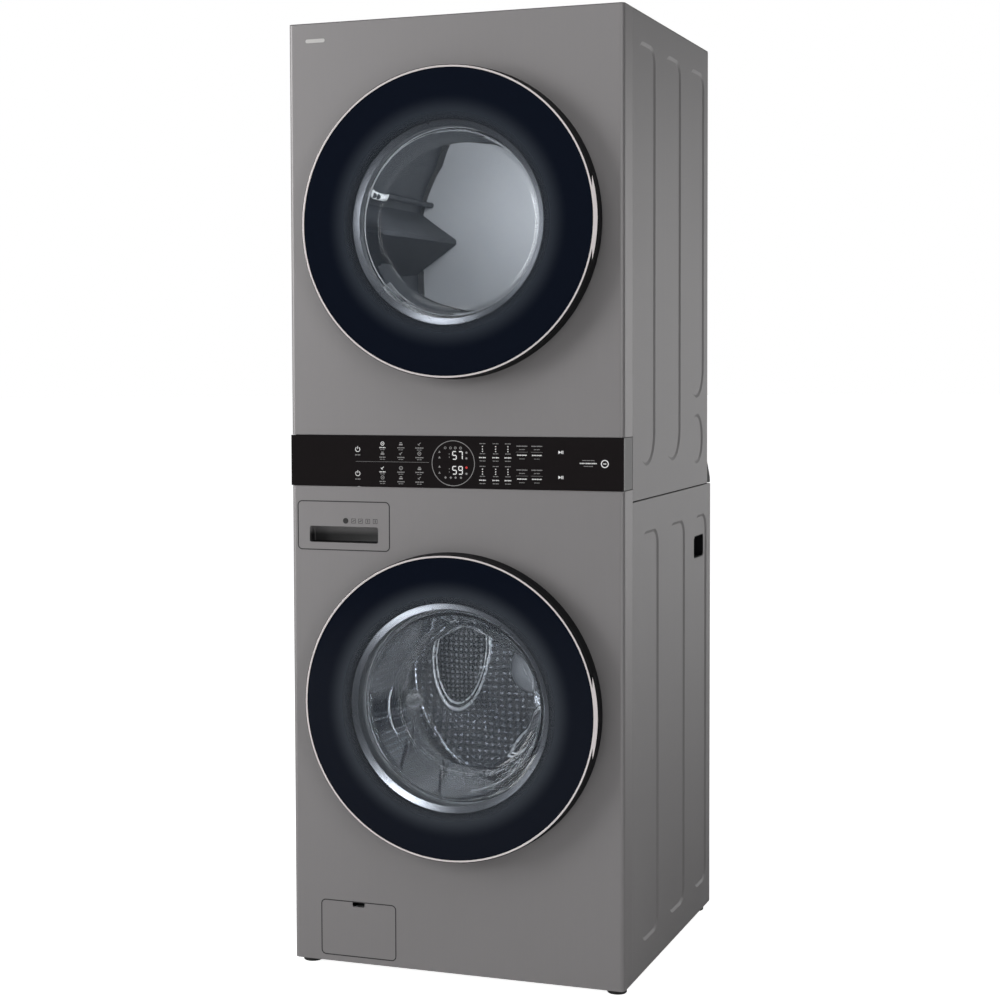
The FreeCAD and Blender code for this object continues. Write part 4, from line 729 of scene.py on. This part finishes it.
# The leaves' steel is darker still, painted shade, and their pale holes are painted glints.
leaf_shaded_steel = drum_steel("leaf_shaded_steel", (0, 0, washer_z), drum_high.y - 0.05, 0.27, 0.0105, (0.05, 0.054, 0.06), 0.2,
                        depth=0.6, hole=(0.5, 0.52, 0.56), metallic=0.6)
band_steel = grained("band_steel", (0.66, 0.68, 0.71), (0.76, 0.78, 0.81), 0.25, 0.05, metallic=0.7,
                     stretch=(60, 60, 60))
leaves = bmesh.new()
bands = bmesh.new()
for number in range(3):
    turn = Matrix.Rotation(math.radians(120 * number + 8), 4, "Y")
    spread = Matrix.Translation((0, 0, washer_z)) @ turn @ Matrix.Translation((-0.160, rear - 0.0062, 0))
    leaf_place = spread @ Matrix.Diagonal((0.050, 0.0085, 0.108, 1)) @ Matrix.Rotation(math.pi / 2, 4, "X")
    bmesh.ops.create_uvsphere(leaves, u_segments=48, v_segments=20, radius=1.0, matrix=leaf_place)
    band_place = spread @ Matrix.Translation((0, -0.003, 0)) @ Matrix.Diagonal((0.5, 1, 1, 1))
    for radius, thick in ((0.118, 0.0044), (0.104, 0.0026)):
        points = []
        for corner in range(12):
            angle = math.radians(30 * corner)
            points.append(bands.verts.new((radius + thick * math.cos(angle), thick * math.sin(angle), 0)))
        lines = [bands.edges.new(pair) for pair in zip(points, points[1:] + points[:1])]
        bmesh.ops.spin(bands, geom=points + lines, cent=(0, 0, 0), axis=(0, 1, 0), angle=2 * math.pi, steps=64,
                       use_merge=True)
        loose = [vert for vert in bands.verts if not vert.tag]
        bmesh.ops.transform(bands, verts=loose, matrix=band_place)
        for vert in loose:
            vert.tag = True
drum_pieces.objects.link(finish_mesh("washer_back_leaves", leaves, leaf_shaded_steel, "washer_drum", angle=80))
lit_bands.objects.link(finish_mesh("washer_leaf_bands", bands, band_steel, "washer_drum", angle=80))

hub_grey = grained("hub_grey", (0.24, 0.25, 0.27), (0.3, 0.31, 0.33), 0.3, 0.08, metallic=0.5, stretch=(60, 60, 60))
hub_y = rear - 0.0095
hub = [(0.0, hub_y), (0.0, hub_y - 0.003), (0.022, hub_y - 0.003), (0.0225, hub_y - 0.013), (0.026, hub_y - 0.0145),
       (0.046, hub_y - 0.0125), (0.051, hub_y - 0.008), (0.0525, hub_y)]
hub_piece = turned("washer_hub_cap", hub, washer_z, hub_grey, "washer_drum", angle=40)
drum_pieces.objects.link(hub_piece)
ribs = bmesh.new()
for number in range(72):
    rib = bmesh.ops.create_cube(ribs, size=1.0)["verts"]
    bmesh.ops.scale(ribs, verts=rib, vec=(0.0042, 0.012, 0.008))
    bmesh.ops.translate(ribs, verts=rib, vec=(0, front + 0.0105, washer_z - 0.219))
    bmesh.ops.rotate(ribs, verts=rib, cent=(0, 0, washer_z), matrix=Matrix.Rotation(math.radians(5 * number), 3, "Y"))
bmesh.ops.bevel(ribs, geom=ribs.edges[:], offset=0.0012, segments=2, profile=0.5, affect="EDGES", material=-1)
finish_mesh("washer_balance_ribs", ribs, washer_shaded_steel, "washer_drum", angle=60)

gasket_grey = grained("gasket_grey", (0.10, 0.105, 0.11), (0.14, 0.145, 0.15), 0.5, 0.1, stretch=(200, 200, 200),
                      bump=0.1)
refined("door_gasket", gasket_grey, 0.0008)

# Dryer drum: stainless wall and back that turn together, the wall painted dark as shade, with a dark ring
# of painted shade where they meet, three tall folded baffles and a rail along the wall in the same painted
# shade, and a white clip on the rail that is a painted highlight in place of a glint.
tumbler_low, tumbler_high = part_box("dryer_drum")
dryer_z = door_z["dryer"]
# The wall's steel is a far darker copy of the back's: painted shade, for the wall in shadow.
shaded_wall_steel = grained("dryer_wall_painted_shade", (0.055, 0.06, 0.068), (0.07, 0.075, 0.084), 0.45, 0.08, metallic=0.35,
                     stretch=(60, 500, 60))
back_steel = grained("dryer_back_steel", (0.36, 0.37, 0.39), (0.62, 0.63, 0.65), 0.5, 0.12, metallic=0.35,
                     stretch=(5, 5, 5), bump=0.02)
outer_r = tumbler_high.x
front = tumbler_low.y
rear = tumbler_high.y - 0.014
wall_profile = [(0.242, front), (outer_r - 0.012, front), (outer_r - 0.0035, front + 0.0035),
                (outer_r, front + 0.012), (outer_r, rear), (outer_r - 0.001, rear), (outer_r - 0.001, front + 0.0125),
                (outer_r - 0.0042, front + 0.0042), (outer_r - 0.0125, front + 0.001), (0.242, front + 0.001)]
turned("dryer_drum_wall", wall_profile, dryer_z, shaded_wall_steel, "dryer_drum", steps=160, angle=40)
back_profile = [(outer_r - 0.0012, rear - 0.001), (0.152, rear - 0.001), (0.149, rear - 0.003), (0.06, rear - 0.003),
                (0.02, rear - 0.004), (0, rear - 0.004), (0, rear + 0.012), (0.009, rear + 0.012), (0.009, rear),
                (outer_r - 0.0012, rear)]
drum_back = turned("dryer_drum_back", back_profile, dryer_z, back_steel, "dryer_drum", steps=160,
                   angle=40)
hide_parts("dryer_drum")
# Baffles and rail in near black: painted shade, as dark as the shaded wall.
baffle_painted_shade = grained("baffle_painted_shade", (0.026, 0.029, 0.034), (0.033, 0.036, 0.042), 0.6, 0.08,
                        stretch=(90, 300, 90))
refined("dryer_baffles", baffle_painted_shade, 0.003, "dryer_drum")

white_plastic = grained("white_plastic", (0.72, 0.73, 0.74), (0.8, 0.81, 0.82), 0.4, 0.1, stretch=(120, 120, 120),
                        bump=0.1)
# Near black painted shade, for the grille's slots, the dark ring in the dryer drum and the gaps round the drawer and
# the drain cover.
painted_shade_black = grained("painted_shade_black", (0.01, 0.01, 0.011), (0.014, 0.014, 0.015), 0.6, 0.1, stretch=(120, 120, 120),
                     bump=0.0)



def arc_bar(mesh, centre_z, profile, first, last, steps):
    """Bar of the given (radius, y) section, spun between two angles from three o'clock, with its ends closed."""
    turn_first = Matrix.Rotation(-math.radians(first), 3, "Y")
    verts = [mesh.verts.new(Vector((0, 0, centre_z)) + turn_first @ Vector((radius, y, 0))) for radius, y in profile]
    start = mesh.faces.new(verts)
    geom = [start] + list(start.edges) + list(start.verts)
    bmesh.ops.spin(mesh, geom=geom, cent=(0, 0, centre_z), axis=(0, -1, 0), angle=math.radians(last - first),
                   steps=steps, use_duplicate=False)


# Dark ring where the wall meets the back: painted shade of the gap there.
back_gap_shade = [(outer_r - 0.0105, rear - 0.0035), (outer_r - 0.0105, rear - 0.0065), (outer_r - 0.0015, rear - 0.0085),
             (outer_r - 0.0015, rear - 0.0035)]
turned("dryer_back_gap_shade", back_gap_shade, dryer_z, painted_shade_black, "dryer_drum", angle=60)


def round_bar(name, radius, middle, depth, corner, segments, material):
    """Round bar along Y on the drum's wall, with rounded ends."""
    bar = bmesh.new()
    bmesh.ops.create_cone(bar, cap_ends=True, segments=20, radius1=radius, radius2=radius, depth=depth,
                          matrix=Matrix.Translation(middle) @ Matrix.Rotation(math.pi / 2, 4, "X"))
    caps = [edge for edge in bar.edges if abs(edge.verts[0].co.y - edge.verts[1].co.y) < 0.001]
    bmesh.ops.bevel(bar, geom=caps, offset=corner, segments=segments, profile=0.5, affect="EDGES", material=-1)
    return finish_mesh(name, bar, material, "dryer_drum", angle=50)


rail_place = Vector((-0.2725, 0, dryer_z + 0.083))
rail_front = front + 0.03
rail_end = rear - 0.02
# The rail takes the baffles' painted shade.
round_bar("dryer_drum_rail", 0.0062, rail_place + Vector((0, (rail_front + rail_end) / 2, 0)), rail_end - rail_front,
          0.004, 4, baffle_painted_shade)
# White clip at the rail's front end: a painted highlight, standing in for a glint there.
glint_clip_piece = round_bar("dryer_rail_glint_clip", 0.0085, rail_place + Vector((0, front_y + 0.31, 0)), 0.11,
                       0.003, 3, white_plastic)
lit_plastics.objects.link(glint_clip_piece)

# Lint grille: a white moulded strip with a row of slots drawn as dark strips of painted shade, clipped
# to the bulkhead along the lower left of the dryer's mouth, just in front of the lint filter.
lint_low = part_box("lint_filter")[0]
grip_bar = bmesh.new()
grip_y = lint_low.y - 0.0055
arc_bar(grip_bar, dryer_z, [(0.1875, grip_y - 0.004), (0.2045, grip_y - 0.004), (0.2045, grip_y + 0.004),
                            (0.1875, grip_y + 0.004)],
        -143, -106, 24)
lit_plastics.objects.link(finish_mesh("lint_grille_bar", grip_bar, white_plastic, "cabinet"))
grip_slots = bmesh.new()
for number in range(9):
    angle = -141.0 + 3.4 * number
    arc_bar(grip_slots, dryer_z, [(0.1896, grip_y - 0.0043), (0.1942, grip_y - 0.0043), (0.1942, grip_y - 0.0036),
                                  (0.1896, grip_y - 0.0036)],
            angle, angle + 1.5, 2)
# The slots are painted shade, not openings.
finish_mesh("lint_grille_slots", grip_slots, painted_shade_black, "cabinet")

# Control band: one sheet of gloss black glass with pale printed icons. Each machine has a row:
# power, six programs, its figures in the round display, three option columns and two keys.
fascia_black = grained("fascia_black", (0.0085, 0.0068, 0.0072), (0.0105, 0.0088, 0.0092), 0.08, 0.02, bump=0.0)
fascia_black.node_tree.nodes["Principled BSDF"].inputs["Specular IOR Level"].default_value = 0.25
refined("control_glass", fascia_black, 0)
glass_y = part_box("control_glass")[0].y - 0.0001
pale_print = grained("pale_print", (0.27, 0.265, 0.265), (0.31, 0.305, 0.305), 0.5, 0.05, bump=0.0)
bright_print = grained("bright_print", (0.56, 0.56, 0.56), (0.6, 0.6, 0.6), 0.5, 0.05, bump=0.0)
bright_print.node_tree.nodes["Principled BSDF"].inputs["Emission Color"].default_value = (1, 1, 1, 1)
bright_print.node_tree.nodes["Principled BSDF"].inputs["Emission Strength"].default_value = 0.25
red_lamp = grained("red_lamp", (0.6, 0.03, 0.03), (0.7, 0.05, 0.04), 0.4, 0.05, bump=0.0)


def legend(mesh, x, z, width, height=0.0021, words=2):
    """A printed caption, drawn as small upright strokes."""
    gap = 0.0009
    each = (width - gap * (words - 1)) / words
    for word in range(words):
        strokes = max(2, round(each / 0.0019))
        for stroke in range(strokes):
            place = x - width / 2 + word * (each + gap) + (stroke + 0.5) * each / strokes
            plate(mesh, place, z, each / strokes - 0.0005, height * (0.8 if stroke % 3 else 1.1))


def power_sign(mesh, x, z, radius=0.0047):
    hoop(mesh, x, z, radius, 0.0011, 125, 415, 24)
    plate(mesh, x, z + radius * 0.75, 0.0012, radius * 1.1)


def seven_segment(mesh, x, z, digit, width=0.0075, height=0.0150, line=0.0019):
    """One figure of the display from bars, with its lower left corner at x, z."""
    bars = {"top": (0.5, 1, True), "middle": (0.5, 0.5, True), "bottom": (0.5, 0, True),
            "upper_left": (0, 0.75, False), "upper_right": (1, 0.75, False),
            "lower_left": (0, 0.25, False), "lower_right": (1, 0.25, False)}
    lit = {5: ("top", "middle", "bottom", "upper_left", "lower_right"), 7: ("top", "upper_right", "lower_right"),
           9: ("top", "middle", "bottom", "upper_left", "upper_right", "lower_right")}[digit]
    for bar in lit:
        u, v, flat = bars[bar]
        plate(mesh, x + u * width, z + v * height, width * 0.86 if flat else line, line if flat else height * 0.44)


white_marks = bmesh.new()
dim_marks = bmesh.new()
hoop(dim_marks, 0.0015, 1.021, 0.0440, 0.0011, steps=64)
for z, digits in ((1.0290, (5, 7)), (1.0000, (5, 9))):
    for number, digit in enumerate(digits):
        seven_segment(white_marks, 0.0005 + 0.0125 * number, z, digit)
    plate(dim_marks, -0.0065, z + 0.004, 0.0016, 0.0016)
    plate(dim_marks, -0.0065, z + 0.010, 0.0016, 0.0016)
for x in (-0.015, -0.004, 0.006, 0.017):
    hoop(dim_marks, x, 1.0510, 0.0021, 0.0009, steps=12)
    plate(dim_marks, x + 0.0005, 0.9930, 0.0036, 0.0036, math.pi / 4)
for z in (1.042, 1.031, 1.013, 1.001):
    plate(dim_marks, -0.027, z, 0.0042, 0.0012)
    plate(dim_marks, -0.027, z + 0.0018, 0.0018, 0.0022)
    if z != 1.013:
        spot(dim_marks, 0.029, z, 0.0021)
red_marks = bmesh.new()
spot(red_marks, 0.029, 1.013, 0.0024)

for icon_z, caption_z in ((1.0460, 1.0350), (0.9980, 0.9870)):
    power_sign(white_marks, -0.200, icon_z)
    legend(dim_marks, -0.200, caption_z, 0.011)
for column, x in enumerate((-0.147, -0.108, -0.069)):
    for row, (icon_z, caption_z) in enumerate(((1.058, 1.0500), (1.039, 1.0310), (1.010, 1.0020), (0.991, 0.9830))):
        layer = white_marks if column == 0 and row in (0, 2) else dim_marks
        if (column + row) % 3 == 0:
            hoop(layer, x, icon_z, 0.0034, 0.0011, steps=16)
            plate(layer, x, icon_z, 0.0030, 0.0011)
        elif (column + row) % 3 == 1:
            plate(layer, x, icon_z - 0.0016, 0.0074, 0.0028)
            plate(layer, x, icon_z + 0.0020, 0.0046, 0.0016)
        else:
            plate(layer, x, icon_z, 0.0070, 0.0012, math.radians(40))
            plate(layer, x - 0.0016, icon_z - 0.0016, 0.0046, 0.0012, math.radians(-40))
        legend(layer, x, caption_z, (0.013, 0.015, 0.017)[column])
        legend(dim_marks, x, caption_z - 0.0040, 0.010, 0.0012)
plate(dim_marks, -0.1265, 1.0220, 0.155, 0.0004)
for x in (0.062, 0.089, 0.114):
    for top in (1.060, 1.016):
        legend(dim_marks, x, top, 0.012, 0.0016)
        for step in (0.0055, 0.0105, 0.0150):
            spot(white_marks, x, top - step, 0.0011)
        legend(dim_marks, x, top - 0.0195, 0.011, 0.0016)
        legend(white_marks, x, top - 0.0270, 0.014, 0.0022)
        legend(dim_marks, x, top - 0.0335, 0.012, 0.0016)
for left, right in ((0.130, 0.155), (0.160, 0.185)):
    x = (left + right) / 2
    for top in (1.0560, 1.0100):
        legend(dim_marks, x, top, 0.022, 0.0020)
        legend(dim_marks, x, top - 0.0065, 0.012, 0.0014)
        plate(dim_marks, x, top - 0.0115, 0.024, 0.0004)
        legend(white_marks, x, top - 0.0175, 0.020, 0.0022)
        legend(dim_marks, x, top - 0.0245, 0.011, 0.0014)
for z in (1.045, 0.997):
    bmesh.ops.create_circle(white_marks, cap_ends=True, segments=3, radius=0.0037,
                            matrix=Matrix.Translation((0.2175, z, 0)) @ Matrix.Rotation(-math.pi / 2, 4, "Z"))
    plate(white_marks, 0.2222, z, 0.0014, 0.0060)
    plate(white_marks, 0.2247, z, 0.0014, 0.0060)
legend(dim_marks, 0.275, 1.0300, 0.024, 0.0014, 3)
legend(white_marks, 0.275, 1.0245, 0.034, 0.0024, 3)
legend(dim_marks, 0.275, 1.0190, 0.018, 0.0014)
hoop(white_marks, 0.3075, 1.0240, 0.0068, 0.0017, steps=24)
plate(white_marks, 0.3075, 1.0240, 0.0060, 0.0016)
for name, layer, ink in (("display_print", dim_marks, pale_print), ("display_lit", white_marks, bright_print),
                         ("display_lamp", red_marks, red_lamp)):
    stand_up(layer, glass_y)
    finish_mesh(name, layer, ink, "cabinet", smooth=False)

# Detergent drawer: a painted steel face with a moulded finger recess, its four small icons and a
# dark strip all round, painted gap shade. The drain cover below is a painted flap with a finger notch.
refined("drawer_front", graphite, 0.0006, "drawer")
refined("drain_cover", graphite, 0.0006, "drain_cover")
for (x0, x1, z0, z1), owner in (((-0.3313, -0.1337, 0.8442, 0.9413), "drawer"),
                                ((-0.2853, -0.1247, 0.0247, 0.1358), "drain_cover")):
    # Dark strip round each opening: painted shade in the gap between the face and the panel.
    gap_shade = bmesh.new()
    radius = 0.009
    gap_shade_width = 0.0021
    for x in (x0, x1):
        plate(gap_shade, x, (z0 + z1) / 2, gap_shade_width, z1 - z0 - 2 * radius)
    for z in (z0, z1):
        plate(gap_shade, (x0 + x1) / 2, z, x1 - x0 - 2 * radius, gap_shade_width)
    for x, z, first in ((x1 - radius, z1 - radius, 0), (x0 + radius, z1 - radius, 90),
                        (x0 + radius, z0 + radius, 180), (x1 - radius, z0 + radius, 270)):
        hoop(gap_shade, x, z, radius, gap_shade_width, first, first + 90, 8)
    stand_up(gap_shade, front_y)
    finish_mesh(owner + "_gap_shade", gap_shade, painted_shade_black, owner, smooth=False)
scoop_low = Vector((-0.306, front_y, 0.859))
scoop_high = Vector((-0.158, front_y + 0.024, 0.8915))


def recess_painted_light_and_shade():
    """Moulded recess: painted light in grey at the top, painted shade in near black towards the bottom."""
    material = grained("recess_painted_shade", (0.004, 0.004, 0.0043), (0.006, 0.006, 0.0064), 0.35, 0.1,
                       stretch=(200, 200, 200), bump=0.05)
    nodes = material.node_tree.nodes
    link = material.node_tree.links.new
    place = nodes.new("ShaderNodeTexCoord")
    parts = nodes.new("ShaderNodeSeparateXYZ")
    link(place.outputs["Object"], parts.inputs[0])
    rise = nodes.new("ShaderNodeMapRange")
    rise.interpolation_type = "SMOOTHSTEP"
    rise.inputs["From Min"].default_value = scoop_low.z + 0.013
    rise.inputs["From Max"].default_value = scoop_high.z - 0.002
    link(parts.outputs["Z"], rise.inputs["Value"])
    tone = nodes.new("ShaderNodeMix")
    tone.data_type = "RGBA"
    # Painted light: the grey that the recess's upper edge takes.
    tone.inputs["B"].default_value = (0.16, 0.155, 0.157, 1)
    link(rise.outputs["Result"], tone.inputs["Factor"])
    effect = next(node for node in nodes if node.type == "GROUP")
    link(effect.outputs["Color"], tone.inputs["A"])
    link(tone.outputs["Result"], nodes["Principled BSDF"].inputs["Base Color"])
    return material


recess = bmesh.new()
bmesh.ops.create_cube(recess, size=1.0)
inner = 0.0004
size = scoop_high - scoop_low
bmesh.ops.scale(recess, verts=recess.verts, vec=(size.x - inner, size.y - 0.001, size.z - inner))
bmesh.ops.translate(recess, verts=recess.verts, vec=((scoop_low.x + scoop_high.x) / 2,
                                                     scoop_low.y + size.y / 2 - 0.0002,
                                                     (scoop_low.z + scoop_high.z) / 2))
mouth = [face for face in recess.faces if face.normal.y < -0.9]
bmesh.ops.delete(recess, geom=mouth, context="FACES_ONLY")
rear_edges = [edge for edge in recess.edges if all(vert.co.y > scoop_high.y - 0.003 for vert in edge.verts)]
uprights = [edge for edge in recess.edges if abs(edge.verts[0].co.y - edge.verts[1].co.y) > 0.01]
bmesh.ops.bevel(recess, geom=rear_edges + uprights, offset=0.0035, segments=4, profile=0.5, affect="EDGES",
                material=-1)
bmesh.ops.recalc_face_normals(recess, faces=recess.faces)
bmesh.ops.reverse_faces(recess, faces=recess.faces)
recess_data = bpy.data.meshes.new("drawer_recess")
recess.to_mesh(recess_data)
recess.free()
recess_data.shade_smooth()
# The recess's colour paints light at its top and shade below it.
recess_data.materials.append(recess_painted_light_and_shade())
recess_piece = bpy.data.objects.new("drawer_recess", recess_data)
scene.collection.objects.link(recess_piece)
lining = recess_piece.modifiers.new("lining", "SOLIDIFY")
lining.thickness = 0.0003
lining.offset = 1.0
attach(recess_piece, "drawer")

drawer_marks = bmesh.new()
spot(drawer_marks, -0.2275, 0.9030, 0.0058, 20)
for x in (-0.2105, -0.1955, -0.1800, -0.1640):
    hoop(drawer_marks, x, 0.9030, 0.0060, 0.0011, 45, 405, 4)
    plate(drawer_marks, x, 0.9030, 0.0052, 0.0014, math.radians(30 if x < -0.19 else 90))
stand_up(drawer_marks, front_y - 0.0001)
drawer_ink = grained("drawer_ink", (0.012, 0.012, 0.012), (0.016, 0.016, 0.016), 0.6, 0.05, bump=0.0)
finish_mesh("drawer_print", drawer_marks, drawer_ink, "drawer", smooth=False)

# Everything behind the panels, and the small outside parts: each keeps its shape from the
# frame and gets the finish of what it is made of.
plain = {
    "painted_steel": graphite,
    "galvanised": grained("galvanised", (0.36, 0.37, 0.38), (0.46, 0.47, 0.48), 0.42, 0.16, metallic=0.85,
                          stretch=(35, 35, 35), bump=0.05),
    "stainless": back_steel,
    "rim_metal": rim_silver,
    "black_plastic": door_black,
    "grey_plastic": grained("grey_plastic", (0.085, 0.084, 0.085), (0.10, 0.099, 0.10), 0.45, 0.1,
                            stretch=(240, 240, 240), bump=0.1),
    "white_plastic": white_plastic,
    "tub_plastic": grained("tub_plastic", (0.42, 0.43, 0.45), (0.48, 0.49, 0.51), 0.5, 0.1, stretch=(150, 150, 150),
                           bump=0.1),
    "gasket_rubber": gasket_grey,
    "foot_rubber": grained("foot_rubber", (0.018, 0.018, 0.018), (0.028, 0.028, 0.028), 0.6, 0.1,
                           stretch=(300, 300, 300), bump=0.2),
    "motor_parts": grained("motor_parts", (0.3, 0.16, 0.09), (0.38, 0.2, 0.12), 0.4, 0.15, metallic=0.8,
                           stretch=(80, 500, 80)),
    "cast_weight": grained("cast_weight", (0.2, 0.2, 0.195), (0.3, 0.3, 0.29), 0.8, 0.1, stretch=(90, 90, 90),
                           bump=0.4),
    "bearing_steel": grained("bearing_steel", (0.6, 0.6, 0.61), (0.7, 0.7, 0.71), 0.22, 0.06, metallic=1.0,
                             stretch=(40, 400, 40)),
    "belt_rubber": grained("belt_rubber", (0.014, 0.014, 0.014), (0.022, 0.022, 0.022), 0.65, 0.1,
                           stretch=(40, 900, 40), bump=0.3),
}
slots = {subpart["node"]: subpart["material_slot"] for subpart in frame["record"]["subparts"]}
for name, node in frame["nodes"].items():
    if slots[name] in plain:
        node.data.materials.clear()
        node.data.materials.append(plain[slots[name]])
for name, body in (("control_housing", "cabinet"), ("rear_joint_cover", "cabinet"), ("hand_hold_cups", "cabinet"),
                   ("base_pan", "cabinet"), ("middle_deck", "cabinet")):
    refined(name, plain[slots[name]], 0.0004, body)
